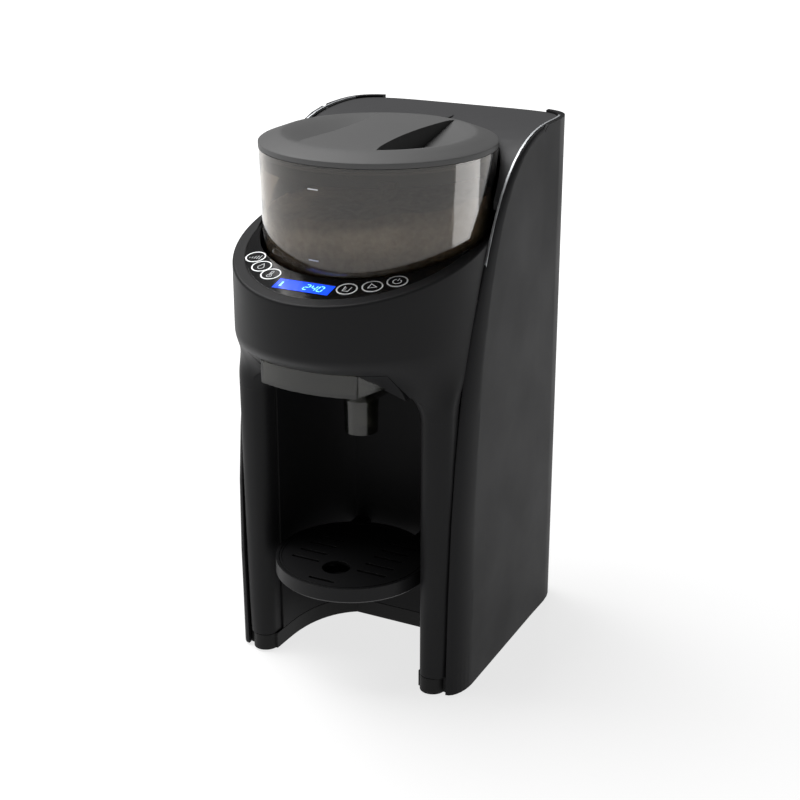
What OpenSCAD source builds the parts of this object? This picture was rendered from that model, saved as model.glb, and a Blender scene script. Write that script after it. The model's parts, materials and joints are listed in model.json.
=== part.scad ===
// Baby formula maker: powder on top, water tank at the back, mixing funnel and bottle bay in front.
// Origin: middle of the footprint at the table. +Z up, front of the machine towards -Y.

/* [Overall] */
// Width across the side wings
body_w = 163; // [150:1:200]
// Depth from the head's rim to the back
body_d = 229; // [215:1:280]
// Height of the rear deck above the table
deck_h = 340; // [325:1:410]

/* [Shells] */
// Wall of the moulded housings
wall = 2.6; // [2:0.1:3.5]
// Gap between neighbouring shells
gap = 0.4; // [0.3:0.05:0.8]
// Height of the rubber feet under the base
foot_h = 1.5; // [1:0.1:4]
// Height of the seam between base and legs
base_h = 12.3; // [10:0.1:20]

/* [Bay] */
// Overhang of the head in front of the legs
head_overhang = 49.7; // [35:0.1:60]
// Width of the bottle bay
bay_w = 104; // [96:1:112]
// Depth of the bay from the legs' front to its back wall
bay_d = 75.2; // [66:0.1:84]
// Height of the arch above the table
arch_h = 198; // [160:1:240]
// Radius of the arch's upper corners
arch_r = 16; // [8:1:24]
// Height of the head's front lower edge above the arch
lip_rise = 21; // [14:0.5:30]
// Radius of the legs' rounded noses
leg_r = 8.2; // [6:0.1:9]

/* [Powder container] */
// Outer radius of the container at its mouth
container_r = 72; // [60:0.5:74]
// Wall of the clear container
container_wall = 2; // [1.5:0.1:3]
// Height of the container's seat above the arch
seat_rise = 55; // [50:0.5:70]
// Radius of the powder outlet
outlet_r = 9; // [7:0.5:10]
// Depth of the control panel in front of the container
panel_depth = 24; // [20:0.5:30]
// Width of the head's rim around the panel
rim_w = 7.5; // [5:0.1:10]
// Slope of the head's top, in rise per run
rim_slope = 0.25; // [0.15:0.01:0.35]
// Thickness of the lid's rim
lid_t = 3.5; // [2.5:0.1:6]
// Rise of the lid's crown above its rim
lid_crown = 5.2; // [3:0.1:8]
// Half width of the lid's grip bar at its middle
grip_half = 21; // [15:0.5:26]

/* [Controls] */
// Radius of a button
button_r = 5.3; // [4.2:0.1:5.5]
// Travel of a button
button_travel = 0.6; // [0.3:0.1:1]
// Width of the display window
lcd_w = 36.5; // [25:0.5:40]
// Depth of the display window
lcd_d = 10.5; // [7:0.5:11]

/* [Bottle tray] */
// Radius of the drip tray
tray_r = 48.7; // [40:0.1:50]
// Height of the tray's rim above the table
tray_z = 77.9; // [60:0.1:110]
// Height of the tray
tray_h = 10.1; // [8:0.1:16]
// Radius of the drain hole in the tray's cover
drain_r = 8.9; // [5:0.1:11]

/* [Funnel] */
// Inner radius of the spout
spout_r = 8.6; // [6:0.1:10]
// Height of the spout's lower end above the table
spout_z = 158; // [150:1:170]

/* [Water tank] */
// Depth of the water tank
tank_d = 46.5; // [40:0.5:52]
// Width of the water tank
tank_w = 118; // [90:1:120]
// Height of the shelf that the tank stands on
shelf_h = 60; // [52:0.5:80]

/* [Drive] */
// Gear module
gear_m = 1.5; // [1.5:0.1:1.6]
// Teeth of the drive gear
drive_teeth = 36; // [36:1:38]
// Teeth of the motor pinion
pinion_teeth = 14; // [13:1:16]

/* [Hidden] */
$fn = 96;
eps = 0.01;
fit = 0.05;                         // radial clearance of a running shaft
steps = 22;                         // points along the swept edge
front_y = -body_d / 2;
back_y = body_d / 2;
side_x = body_w / 2;
bottom_z = foot_h;

// Side walls: widest behind the legs, drawn in a little towards the back
side_taper = 2.6;
wing_lip = 10.1;                    // width of the wings' rolled front edge
wing_nose = 19.9;                   // depth of that rolled edge
wing_in = side_x - wing_lip;        // inner edge of the wings' front
leg_front_y = front_y + head_overhang;
sweep_y0 = leg_front_y + 3.8;       // the wings' front edge, where it stands upright
sweep_y1 = back_y - 30;             // where the swept edge meets the deck
sweep_z0 = 69;
wing_side_y = sweep_y0 + wing_nose;
rear_y1 = back_y - 54;              // from here the sides round into the back
trim_w = 1.2;
flange_in = 3.6;                    // width of the wings' top flange

// Bay
bay_back_y = leg_front_y + bay_d;
bay_mid_y = leg_front_y + 20.7;
bay_curve_d = bay_back_y - bay_mid_y + 7.5;
leg_x = bay_w / 2 + 9.4;
floor_z = arch_h + lip_rise + 0.8;  // underside of the head floor
floor_t = 3;
lip_z = arch_h + lip_rise;          // head's lower front edge

// Head
head_a = side_x - 4;
head_cy = front_y + 87;
head_b = 87;
container_y = front_y + rim_w + panel_depth + 72.3; // the room for the container is made for 72 mm
edge_r = container_y - front_y - 9; // the head's lower front edge is round about the container
seat_z = arch_h + seat_rise;
rim_z = 261.4 - 198 - 55 + seat_z;  // head's rim at the very front
panel_t = 2.4;
tilt = atan(rim_slope);
recess_r = container_r + gap;
seat_wall = 2;

// Container and lid
lid_rim_z = deck_h - 2.6;
lid_z = lid_rim_z - lid_t;
foot_r = container_r - 2;           // container's radius at its foot
container_z = seat_z + 0.3;
container_floor = 3;
skirt_h = 11.5;
scoop_r = container_r - 14;
hub_r = 10;

// Column between bay and tank
tank_back_y = back_y - 1;
tank_y = tank_back_y - tank_d;
partition_y = tank_y - gap - wall;
tank_top = deck_h - 7.5;
valve_x = 28;
valve_y = tank_y + tank_d / 2;
valve_r = 5;

deck_front_y = sweep_y0 + 58;       // where the deck comes out from under the head
deck_drop = 1.4;                    // the deck lies this far under the swept edge
deck_t = 2.4;

// Drive
drive_r = gear_m * drive_teeth / 2;
pinion_r = gear_m * pinion_teeth / 2;
pinion_y = container_y + drive_r + pinion_r;
gear_z = seat_z - 13;
gear_h = 7;
shaft_r = 6;
motor_r = 12.5;
outlet_off = drive_r + gear_m + outlet_r + 4; // outlet clear of the drive gear

// Funnel
spout_y = container_y + 24 - 48.4;
funnel_wall = 1.8;
funnel_top = lip_z - 0.3;
funnel_w = bay_w / 2 - 8;
rail_x = funnel_w + 3.2;            // inner face of the rails' uprights
rail_end_y = bay_mid_y + 20;

// Tray
tray_y = bay_back_y - 10.1 - tray_r;
cover_r = tray_r - 3;

// ---------- outlines ----------

function mirrored(pts) = concat(pts, [for (i = [len(pts) - 1:-1:0]) [-pts[i][0], pts[i][1]]]);
function power(x, n) = x <= 0 ? 0 : pow(x, n);

// Whole body in plan, drawn in by o: rolled front corner, tapering side, rounded back
function body_half(o) = let (w = side_x - side_taper - o, d = back_y - rear_y1 - o) concat(
    [for (i = [0:6]) let (t = i * 15) [wing_in + (wing_lip - o) * sin(t),
        wing_side_y - (wing_nose - o) * cos(t)]],
    [for (i = [0:12]) let (t = i * 7.5) [w * power(cos(t), 0.4), rear_y1 + d * power(sin(t), 0.4)]]);
function body_plan(o) = mirrored(body_half(o));

// The bay's wall in plan: a superellipse cut flat at the back, o outside the wall's face
function bay_plan(o, y_front) = let (w = bay_w / 2 + o, d = bay_curve_d + o, n = 2.36,
    t_flat = asin(pow(min(1, (bay_back_y + o - bay_mid_y) / d), n / 2))) mirrored(concat(
    [[w, y_front]],
    [for (i = [0:12]) let (t = t_flat * i / 12) [w * pow(cos(t), 2 / n),
        bay_mid_y + d * power(sin(t), 2 / n)]]));

// The head in plan: half of an ellipse, drawn in by o
function head_plan(o) = mirrored(concat(
    [for (i = [0:30]) let (t = -90 + i * 3) [(head_a - o) * cos(t), head_cy + (head_b - o) * sin(t)]],
    [[head_a - o, back_y]]));

// Swept edge in side view (y, z): upright by the legs, level on the deck
function sweep_pt(s, o) = [sweep_y0 + o + (sweep_y1 - sweep_y0) * s,
    sweep_z0 + (deck_h - o - sweep_z0) * power(1 - pow(1 - s, 3), 0.514)];
function sweep(o) = [for (i = [0:steps]) sweep_pt(pow(i / steps, 2), o)];
function behind_sweep(o, low) = concat([[sweep_y0 + o, low]], sweep(o),
    [[back_y + 5, deck_h - o], [back_y + 5, low]]);
function ahead_of_sweep(o) = concat([[front_y - 5, -1], [sweep_y0 - o, -1]], sweep(-o),
    [[sweep_y1, deck_h + 20], [front_y - 5, deck_h + 20]]);
// Height of the swept edge at a place y
function sweep_z(y) = sweep_pt(max(0, min(1, (y - sweep_y0) / (sweep_y1 - sweep_y0))), 0)[1];

// Plane of the head's top
function rim_plane(y) = rim_z + rim_slope * (y - front_y);

// Solid through rings of equal length, each counter-clockwise seen from the next
module loft(rings) {
    n = len(rings[0]);
    polyhedron([for (r = rings) each r], concat(
        [[for (k = [0:n - 1]) k]],
        [for (i = [0:len(rings) - 2]) for (k = [0:n - 1]) let (a = i * n + k, b = i * n + (k + 1) % n)
            each [[a, a + n, b + n], [a, b + n, b]]],
        [[for (k = [n - 1:-1:0]) (len(rings) - 1) * n + k]]));
}
module side_extrude(w) rotate([90, 0, 90]) linear_extrude(w, center = true) children();
module sides() for (s = [-1, 1]) scale([s, 1, 1]) children();
module at_container() translate([0, container_y, 0]) children();
module tube(r, bore, h) difference() {
    cylinder(r = r, h = h);
    translate([0, 0, -eps]) cylinder(r = bore, h = h + 2 * eps);
}
// All that lies under the head's sloping top, lowered by down
module under_rim(down) side_extrude(body_w + 20)
    polygon([[front_y - 5, -5], [back_y, -5], [back_y, rim_plane(back_y) - down],
        [front_y - 5, rim_plane(front_y - 5) - down]]);
// Places children on the sloping top at x, y, with local +Z square to it
module on_panel(x, y) translate([x, y, rim_plane(y)]) rotate([tilt, 0, 0]) children();

// ---------- front housing ----------

// Distance from the container's axis to the head's outline, in the direction a from the front
function head_r(a, o) = let (pa = head_a - o, pb = head_b - o, dy = container_y - head_cy,
    q = pow(sin(a) / pa, 2) + pow(cos(a) / pb, 2), h = cos(a) * dy / pb / pb)
    (h + sqrt(h * h - q * (dy * dy / pb / pb - 1))) / q;
// The head's outer form, drawn in by o and ending back before the swept edge
module head_form(o, back) intersection() {
    translate([0, 0, arch_h - 20]) linear_extrude(deck_h - arch_h) polygon(head_plan(o));
    at_container() rotate_extrude() polygon([[0, arch_h - 20], [edge_r - 3 - o, arch_h - 20],
        [edge_r - 1.5 - o, lip_z - 8], [edge_r - o, lip_z], [edge_r + 4 - o, lip_z + 3.5],
        [edge_r + 7 - o, lip_z + 8], [edge_r + 9 - o, lip_z + 14], [edge_r + 9.5 - o, lip_z + 20],
        [edge_r + 9.5 - o, deck_h], [0, deck_h]]);
    side_extrude(body_w + 20) polygon(ahead_of_sweep(back));
}

// Space that stays open under the head, grown by o: the arch with its rounded top corners,
// the hollow sweep from the legs' front up to the head's lower edge, and the way of the funnel
cheek_r = lip_rise + 20;
module arch_space(o) {
    translate([0, bay_back_y, 0]) rotate([90, 0, 0]) linear_extrude(bay_back_y - front_y + 20) {
        translate([-bay_w / 2 - o, -5]) square([bay_w + 2 * o, arch_h + 5 - arch_r]);
        translate([-bay_w / 2 - o + arch_r, -5]) square([bay_w + 2 * o - 2 * arch_r, arch_h + 5 + o]);
        for (s = [-1, 1]) translate([s * (bay_w / 2 + o - arch_r), arch_h + o - arch_r]) circle(r = arch_r);
    }
    side_extrude(body_w + 20) polygon(concat([[front_y - 10, -5], [leg_front_y + o, -5]],
        [for (i = [0:12]) let (t = i * 7.5) [leg_front_y - cheek_r + (cheek_r + o) * cos(t),
            lip_z - cheek_r + (cheek_r + o) * sin(t)]],
        [[front_y - 10, lip_z + o]]));
    translate([-funnel_w - 1 - o, front_y - 10, arch_h - arch_r])
        cube([2 * (funnel_w + 1 + o), bay_back_y - front_y + 10, lip_rise + arch_r + o]);
}

module leg_plan(o) {
    translate([leg_x, leg_front_y + leg_r]) circle(r = leg_r - o);
    translate([leg_x - leg_r + o, leg_front_y + leg_r])
        square([2 * (leg_r - o), liner_y - gap - leg_front_y - leg_r]);
    translate([leg_x - leg_r + 1.6 + o, leg_front_y + leg_r + 5.8])
        square([wing_in - gap - leg_x + leg_r - 1.6 - 2 * o, 22 - o]);
    polygon([[leg_x, leg_front_y + leg_r], [leg_x + leg_r - o, leg_front_y + leg_r],
        [wing_in - gap - o, leg_front_y + leg_r + 2.6 + o / 4], [wing_in - gap - o, leg_front_y + leg_r + 6],
        [leg_x, leg_front_y + leg_r + 6]]);
}

module front_housing() color("#262626") {
    difference() {
        intersection() {
            head_form(0, gap);
            under_rim(0);
        }
        // hollow inside, open behind
        difference() {
            intersection() {
                head_form(wall, -12);
                under_rim(wall);
            }
            arch_space(wall + eps);
        }
        // opening for the panel and the container
        translate([0, 0, rim_z - 30]) linear_extrude(deck_h) polygon(head_plan(rim_w));
        arch_space(0);
        // opening over the funnel, with room for its rails
        translate([-rail_x - 4, front_y, floor_z - 6]) cube([2 * rail_x + 8, body_d, 6]);
        intersection() {
            translate([-funnel_w - 4, front_y, arch_h - 5]) cube([2 * funnel_w + 8, body_d, lip_rise + 10]);
            at_container() cylinder(r = edge_r - wall - 0.5, h = deck_h);
        }
        // clear of the bay liner and of the container's seat
        translate([0, 0, arch_h - 40]) linear_extrude(floor_z - arch_h + 40) intersection() {
            polygon(bay_plan(wall - 0.6 + gap, liner_y));
            translate([-body_w, liner_y - gap]) square([2 * body_w, body_d]);
        }
        at_container() translate([0, 0, seat_z - 4]) cylinder(r = recess_r + seat_wall + gap, h = deck_h);
    }
    sides() difference() {
        translate([0, 0, base_h + gap]) linear_extrude(floor_z - base_h - 2 * gap) leg_plan(0);
        translate([screw_places[0][0], screw_places[0][1], 0]) cylinder(r = screw_r + fit, h = base_h + 12);
        translate([0, 0, base_h + gap - eps]) linear_extrude(floor_z - base_h - 2 * gap - 6)
            intersection() {
                leg_plan(2.2);
                translate([leg_x - 20, leg_front_y]) square([40, 29]);
            }
    }
}

// ---------- base ----------

module base_plan(o) {
    difference() {
        polygon(body_plan(wall + gap + o));
        polygon(bay_plan(o, front_y));
    }
    sides() leg_plan(o);
}

foot_places = [[leg_x + 1, leg_front_y + 12], [side_x - 20, back_y - 24]];
screw_places = [[leg_x + 1.5, leg_front_y + 33], [side_x - 18, partition_y + wall + 3]];
screw_r = 1.7;
liner_y = leg_front_y + leg_r + 6.5; // front edge of the bay liner

module base_tray() color("#242424") difference() {
    union() {
        difference() {
            translate([0, 0, bottom_z]) linear_extrude(base_h - bottom_z) base_plan(0);
            translate([0, 0, bottom_z + 3]) linear_extrude(base_h) difference() {
                polygon(body_plan(2 * wall + gap));
                polygon(bay_plan(wall, front_y));
            }
        }
        sides() for (p = screw_places) translate([p[0], p[1], bottom_z]) cylinder(r = 4.5, h = base_h - bottom_z);
    }
    sides() {
        for (p = foot_places) translate([p[0], p[1], bottom_z - eps]) cylinder(r = 5.6, h = 1);
        for (p = screw_places) translate([p[0], p[1], 0]) {
            cylinder(r = 2, h = base_h + 1);
            cylinder(r = 3.6, h = bottom_z + 3);
        }
    }
}

module rubber_feet() color("#3b3b3b") sides() for (p = foot_places)
    translate([p[0], p[1], 0]) {
        cylinder(r1 = 4.6, r2 = 5.2, h = bottom_z);
        translate([0, 0, bottom_z - eps]) cylinder(r = 5.2, h = 1);
    }

module base_screws() color("#8d9094") sides() for (p = screw_places)
    translate([p[0], p[1], bottom_z + 0.6]) difference() {
        union() {
            cylinder(r = 3.2, h = 2.3);
            cylinder(r = screw_r, h = base_h - bottom_z - 0.6 + 7);
        }
        translate([0, 0, -eps]) for (a = [0, 90]) rotate(a) translate([-2, -0.4, 0]) cube([4, 0.8, 1.2]);
    }

// ---------- bay liner ----------

hook_z = [tray_z - 7.5, tray_z - 32];
module bay_liner() color("#202020") difference() {
    translate([0, 0, base_h + gap]) linear_extrude(floor_z - base_h - 2 * gap) difference() {
        intersection() {
            polygon(bay_plan(wall - 0.6, liner_y));
            translate([-body_w, liner_y]) square([2 * body_w, body_d]);
        }
        polygon(bay_plan(0, front_y));
    }
    // slots for the tray's hooks at two heights
    for (z = hook_z) sides() translate([hook_x - hook_w / 2 - 0.4, bay_back_y - 1, z - 0.4])
        cube([hook_w + 0.8, wall + 2, 4.2]);
}

// ---------- wings ----------

// Stations along the swept edge: [y, z] on the edge and the direction into the wing
function edge_stations() = concat([[[sweep_y0, -5], [1, 0]], [[sweep_y0, 40], [1, 0]]],
    [for (i = [0:14]) let (s = 0.82 * pow(i / 14, 1.6), e = 0.002, d = unit(sweep_pt(s + e, 0) - sweep_pt(max(0, s - e), 0)))
        [sweep_pt(s, 0), [d[1], -d[0]]]]);
function wing_x(y) = side_x - side_taper * max(0, min(1, (y - wing_side_y) / (rear_y1 - wing_side_y)));
function edge_w(z) = lookup(z, [[0, 9.3], [100, 7.4], [lip_z - 4, 6.6], [lip_z + 43, flange_in], [500, flange_in]]);
function roll_w(z) = lookup(z, [[0, 9.1], [100, 7.2], [lip_z - 4, 6.4], [lip_z + 43, flange_in - 0.2],
    [deck_h - 20, 2.6], [deck_h - 5, 1.2], [deck_h - 1, 0.4]]);
function roll_d(z) = lookup(z, [[0, wing_nose], [180, wing_nose], [lip_z + 43, 16], [deck_h - 40, 10],
    [deck_h - 12, 5], [deck_h - 1, 3.4]]);
// Section of the rolled edge, drawn in by o: [x, depth] from the inner end round to the side
function edge_section(y, z, o) = let (x = wing_x(y), w = roll_w(z), d = roll_d(z)) concat(
    [[x - edge_w(z) - (o > 0 ? 12 : 0), d + 0.6], [x - edge_w(z) - (o > 0 ? 12 : 0), o]],
    [for (i = [0:7]) let (t = i * 90 / 7) [x - w + (w - o) * sin(t), d - (d - o) * cos(t)]], [[x - o, d + 0.6]]);
module wing_form(o) intersection() {
    translate([0, 0, -1]) linear_extrude(deck_h + 2) polygon(concat([[0, sweep_y0 - 10], [side_x - o, sweep_y0 - 10],
        [side_x - o, wing_side_y]], [for (i = [7:19]) body_half(o)[i]]));
    union() {
        side_extrude(body_w + 20) polygon(concat([for (e = edge_stations()) e[0] + roll_d(e[0][1]) * e[1]],
            [for (i = [1:4]) sweep_pt(0.82 + 0.045 * i, o)], [[back_y + 5, deck_h - o], [back_y + 5, -5]]));
        loft([for (e = edge_stations()) [for (q = edge_section(e[0][0], e[0][1], o))
            let (p = e[0] + q[1] * e[1]) [q[0], p[0], p[1]]]]);
    }
}

module right_wing() color("#3a3a3c") difference() {
    wing_form(0);
    wing_form(wall);
    translate([0, front_y, -10]) cube([body_w, body_d + 10, bottom_z + 10]);
    // inner edge of the top flange and of the back
    translate([-body_w, front_y, -1]) cube([body_w + wing_in, rear_y1 - front_y, rim_z + 1]);
    translate([-body_w, front_y, -1]) cube([body_w + tank_w / 2 + gap, body_d + 5, deck_h + 5]);
    translate([0, 0, rim_z - eps]) linear_extrude(deck_h) polygon(body_plan(flange_in));
    at_container() translate([0, 0, seat_z - 6]) cylinder(r = recess_r + seat_wall + gap, h = deck_h);
    // seat of the bright edge strip
    trim_band(flange_in + 0.1, flange_in - trim_w, -5, trim_t);
}
module left_wing() mirror([1, 0, 0]) right_wing();

// Band under the swept edge, between two outlines of the body and two depths below the edge
trim_t = 1;
module trim_band(o_in, o_out, above, below) intersection() {
    linear_extrude(deck_h + 5) intersection() {
        difference() {
            polygon(body_plan(o_out));
            polygon(body_plan(o_in));
        }
        translate([0, sweep_y0 + 36]) square([body_w, back_y - 20 - sweep_y0 - 36]);
    }
    side_extrude(2 * body_w) difference() {
        polygon(behind_sweep(above, 0));
        polygon(behind_sweep(below, -1));
    }
}
module right_edge_trim() color("#b9bcc0") trim_band(flange_in, flange_in - trim_w, -0.2, trim_t);
module left_edge_trim() mirror([1, 0, 0]) right_edge_trim();

// ---------- rear housing ----------

module rear_outline(o) {
    polygon(body_plan(wall + gap + o));
    intersection() {
        polygon(body_plan(o + 0.3));
        translate([-tank_w / 2 + o, 0]) square([tank_w - 2 * o, body_d]);
    }
}

module rear_housing() color("#2b2b2b") difference() {
    union() {
        difference() {
            // block under the tank, hollow from below
            translate([0, 0, base_h + gap]) linear_extrude(shelf_h - base_h - gap) intersection() {
                rear_outline(0);
                translate([-body_w, partition_y]) square([2 * body_w, body_d]);
            }
            translate([0, 0, base_h]) linear_extrude(shelf_h - base_h - 3) intersection() {
                rear_outline(wall);
                translate([-body_w, partition_y + wall]) square([2 * body_w, body_d]);
            }
        }
        // partition in front of the tank
        translate([0, 0, base_h + gap]) linear_extrude(deck_h - 14 - base_h) intersection() {
            polygon(body_plan(wall + gap));
            translate([-body_w, partition_y]) square([2 * body_w, wall]);
        }
        // the tank's socket with its hose tail, and the screws' bosses
        translate([valve_x, valve_y, shelf_h - 10]) cylinder(r = valve_r + 7, h = 8);
        translate([valve_x, valve_y, shelf_h - 15]) cylinder(r = 3, h = 6);
        sides() translate([screw_places[1][0], screw_places[1][1], base_h + gap]) cylinder(r = 4, h = 14);
    }
    translate([valve_x, valve_y, shelf_h - 8]) cylinder(r = valve_r + 2.5, h = 12);
    translate([valve_x, valve_y, shelf_h - 2.2]) cylinder(r = valve_r + 5.1, h = 6);
    translate([valve_x, valve_y, shelf_h - 16]) cylinder(r = 1.8, h = 12);
    sides() translate([screw_places[1][0], screw_places[1][1], 0]) cylinder(r = screw_r + fit, h = base_h + 12);
    // way of the hose through the partition
    translate([pump_x, partition_y - 1, pump_z + 22]) rotate([-90, 0, 0]) cylinder(r = 4.5, h = wall + 2);
    // cooling slots and the cord's way out
    for (i = [-4:4]) translate([i * 7 - 1.2, back_y - 12, 24]) cube([2.4, 20, 22]);
    translate([-44, back_y - 12, 26]) rotate([-90, 0, 0]) cylinder(r = 5, h = 20);
}

module cord_gland() color("#1c1c1c") translate([-44, back_y - 10, 26]) rotate([-90, 0, 0]) difference() {
    union() {
        cylinder(r = 4.9, h = 9);
        cylinder(r = 7.5, h = 7.8 - wall);
    }
    translate([0, 0, -1]) cylinder(r = 3, h = 12);
}

module tank_seal() color("#55585c") translate([valve_x, valve_y, 0]) {
    translate([0, 0, shelf_h - 5]) tube(valve_r + 2.4, valve_r + 0.9, 5);
    translate([0, 0, shelf_h - 2.1]) tube(valve_r + 4.9, valve_r + 0.9, 2.3);
}

// ---------- head floor and seat ----------

module head_floor() color("#303234") {
    difference() {
        union() {
            translate([0, 0, floor_z]) linear_extrude(floor_t) {
                intersection() {
                    translate([-wing_in + 3.5, leg_front_y - 1])
                        square([2 * wing_in - 7, partition_y - 0.3 - leg_front_y + 1]);
                    polygon(head_plan(wall + 4));
                }
                intersection() {
                    translate([0, container_y]) circle(r = edge_r - wall - 3.9);
                    translate([-funnel_w + 1, front_y]) square([2 * funnel_w - 2, 80]);
                }
            }
            // boss of the drive bush
            at_container() translate([0, 0, floor_z]) cylinder(r = 13, h = floor_t + 5);
        }
        at_container() translate([0, 0, floor_z - 1]) cylinder(r = 9.6, h = 20);
        translate([0, container_y - outlet_off, floor_z - 1]) cylinder(r = outlet_r + 3.2, h = 10);
        translate([0, pinion_y, floor_z - 1]) cylinder(r = motor_r + 0.3, h = 10);
        translate([nozzle_x, nozzle_y, floor_z - 1]) cylinder(r = 3.6, h = 10);
        for (s = [-1, 1]) translate([s * 14, pinion_y + 14, floor_z - 1]) cylinder(r = 1.3 + fit, h = 10);
        translate([heater_x, column_y, floor_z - 1]) cylinder(r = 4.5, h = 10);
    }
    // rails that carry the funnel's flanges
    sides() {
        translate([funnel_w + 0.6, leg_front_y - 3, floor_z - 5.4])
            cube([rail_x - funnel_w + 1, rail_end_y - leg_front_y + 3, 1.6]);
        translate([rail_x, leg_front_y - 3, floor_z - 5.4])
            cube([1.6, rail_end_y - leg_front_y + 3, 5.4 + eps]);
    }
}

module container_seat() color("#2a2b2d") difference() {
    union() {
        at_container() translate([0, 0, seat_z - 3]) cylinder(r = recess_r + seat_wall, h = 3);
        intersection() {
            at_container() translate([0, 0, seat_z - 3]) tube(recess_r + seat_wall, recess_r, deck_h);
            under_rim(panel_t + 0.3);
            side_extrude(2 * body_w) {
                translate([front_y, 0]) square([deck_front_y - 0.6 - front_y, deck_h]);
                polygon(behind_sweep(deck_drop + deck_t + gap, 0));
            }
        }
        at_container() translate([0, -outlet_off, seat_z - 8]) cylinder(r = outlet_r + 1.5, h = 6);
        // posts that stand on the head floor
        for (a = [35, 145, 215, 325]) at_container() rotate(a)
            translate([container_r - 26, 0, floor_z + floor_t]) cylinder(r = 4, h = seat_z - 2.9 - floor_z - floor_t);
    }
    at_container() translate([0, 0, seat_z - 4]) cylinder(r = hub_r + 1.2, h = 6);
    at_container() translate([0, -outlet_off, seat_z - 9]) cylinder(r = outlet_r, h = 12);
    // clear of the partition behind, and of the buttons
    translate([-body_w, partition_y - 0.3, 0]) cube([2 * body_w, body_d, deck_h]);
    for (p = button_spots) on_panel(p[0], p[1]) translate([0, 0, -14]) cylinder(r = button_r + 0.5, h = 14);
}

module seat_seal() color("#7d3b32") at_container() translate([0, 0, seat_z - 3]) tube(hub_r + 1.15, hub_r + 0.3, 2.9);

module powder_chute() color("#c9c9c4") translate([0, container_y - outlet_off, floor_z - 0.6]) {
    tube(outlet_r + 3, outlet_r, seat_z - 8.2 - floor_z + 0.6);
}

module drive_bush() color("#b08d57") at_container() translate([0, 0, floor_z]) {
    tube(9.5, shaft_r + fit, floor_t + 5);
    translate([0, 0, floor_t + 5]) tube(12, shaft_r + fit, 2);
}

// ---------- controls ----------

// Distance from the container's axis to the panel's outer edge, in the direction a from the front
function panel_edge(a) = head_r(a, rim_w);
// The middle of the panel in that direction
function panel_spot(a) = let (r = (recess_r + panel_edge(a)) / 2) [r * sin(a), container_y - r * cos(a)];
button_angles = [-39.5, -30.2, -21.7, 15.4, 25.4, 35.5];
button_spots = [for (a = button_angles) panel_spot(a)];
lcd_spot = panel_spot(-2.8);

module panel_form(o, down, t) intersection() {
    translate([0, 0, rim_z - 30]) linear_extrude(80) difference() {
        polygon(head_plan(rim_w + 0.15 + o));
        translate([0, container_y]) circle(r = recess_r + 0.2 + (o > 0 ? seat_wall + 0.3 : 0));
    }
    difference() {
        under_rim(down);
        under_rim(down + t);
    }
    side_extrude(body_w) polygon(ahead_of_sweep(gap + 2.2 + o));
}

module control_panel() color("#101114") difference() {
    panel_form(0, 0, panel_t);
    for (p = button_spots) on_panel(p[0], p[1]) translate([0, 0, -6]) cylinder(r = button_r + 0.95, h = 12);
    on_panel(lcd_spot[0], lcd_spot[1]) cube([lcd_w + 0.4, lcd_d + 0.4, 12], center = true);
}

module button_rings() color("#c4c7ca") for (p = button_spots) on_panel(p[0], p[1])
    translate([0, 0, -panel_t]) tube(button_r + 0.9, button_r + 0.25, panel_t + 0.35);

module display_window() color("#1d3fd0") on_panel(lcd_spot[0], lcd_spot[1])
    translate([-lcd_w / 2, -lcd_d / 2, -panel_t]) cube([lcd_w, lcd_d, panel_t]);

module display_module() color("#2f4636") on_panel(lcd_spot[0], lcd_spot[1]) {
    translate([-lcd_w / 2 - 1, -lcd_d / 2 - 1, -panel_t - 3.3]) cube([lcd_w + 2, lcd_d + 2, 3]);
}

board_down = 6;
module button_board() color("#2d5a3a") {
    panel_form(2.5, board_down, 1.6);
    for (p = button_spots) on_panel(p[0], p[1]) {
        translate([-2, -2, -board_down - eps]) cube([4, 4, 1.4]);
        translate([0, 0, -board_down + 1.3]) cylinder(r = 1.2, h = 0.5);
    }
}

module button(i) on_panel(button_spots[i][0], button_spots[i][1]) translate([0, 0, -panel_t]) {
    cylinder(r = button_r, h = panel_t + 0.3);
    translate([0, 0, -board_down + panel_t + 1.8 + button_travel + 0.15])
        cylinder(r = 1.8, h = board_down - panel_t - 1.7 - button_travel - 0.15);
}
module button_level() color("#15161a") button(0);
module button_water() color("#15161a") button(1);
module button_warmth() color("#15161a") button(2);
module button_amount() color("#15161a") button(3);
module button_start() color("#15161a") button(4);
module button_power() color("#15161a") button(5);

// ---------- drive ----------

// Involute gear outline: rolling angle from the base circle, flanks in five points
function roll(rb, r) = let (t = sqrt(max(0, pow(r / rb, 2) - 1))) t * 180 / PI - atan(t);
function gear_pts(teeth, m) = let (rp = m * teeth / 2, rb = rp * cos(20), ra = rp + 0.9 * m,
    rf = rp - 1.2 * m, slack = 0.12 / rp * 180 / PI, k = 4)
    [for (i = [0:teeth - 1]) let (c = i * 360 / teeth) each concat(
        [let (h = 90 / teeth - slack + roll(rb, rp)) rf * [cos(c - h), sin(c - h)]],
        [for (j = [0:k]) let (r = max(rb, rf) + (ra - max(rb, rf)) * j / k,
            h = 90 / teeth - slack + roll(rb, rp) - roll(rb, r)) r * [cos(c - h), sin(c - h)]],
        [for (j = [k:-1:0]) let (r = max(rb, rf) + (ra - max(rb, rf)) * j / k,
            h = 90 / teeth - slack + roll(rb, rp) - roll(rb, r)) r * [cos(c + h), sin(c + h)]],
        [let (h = 90 / teeth - slack + roll(rb, rp)) rf * [cos(c + h), sin(c + h)]])];

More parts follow.
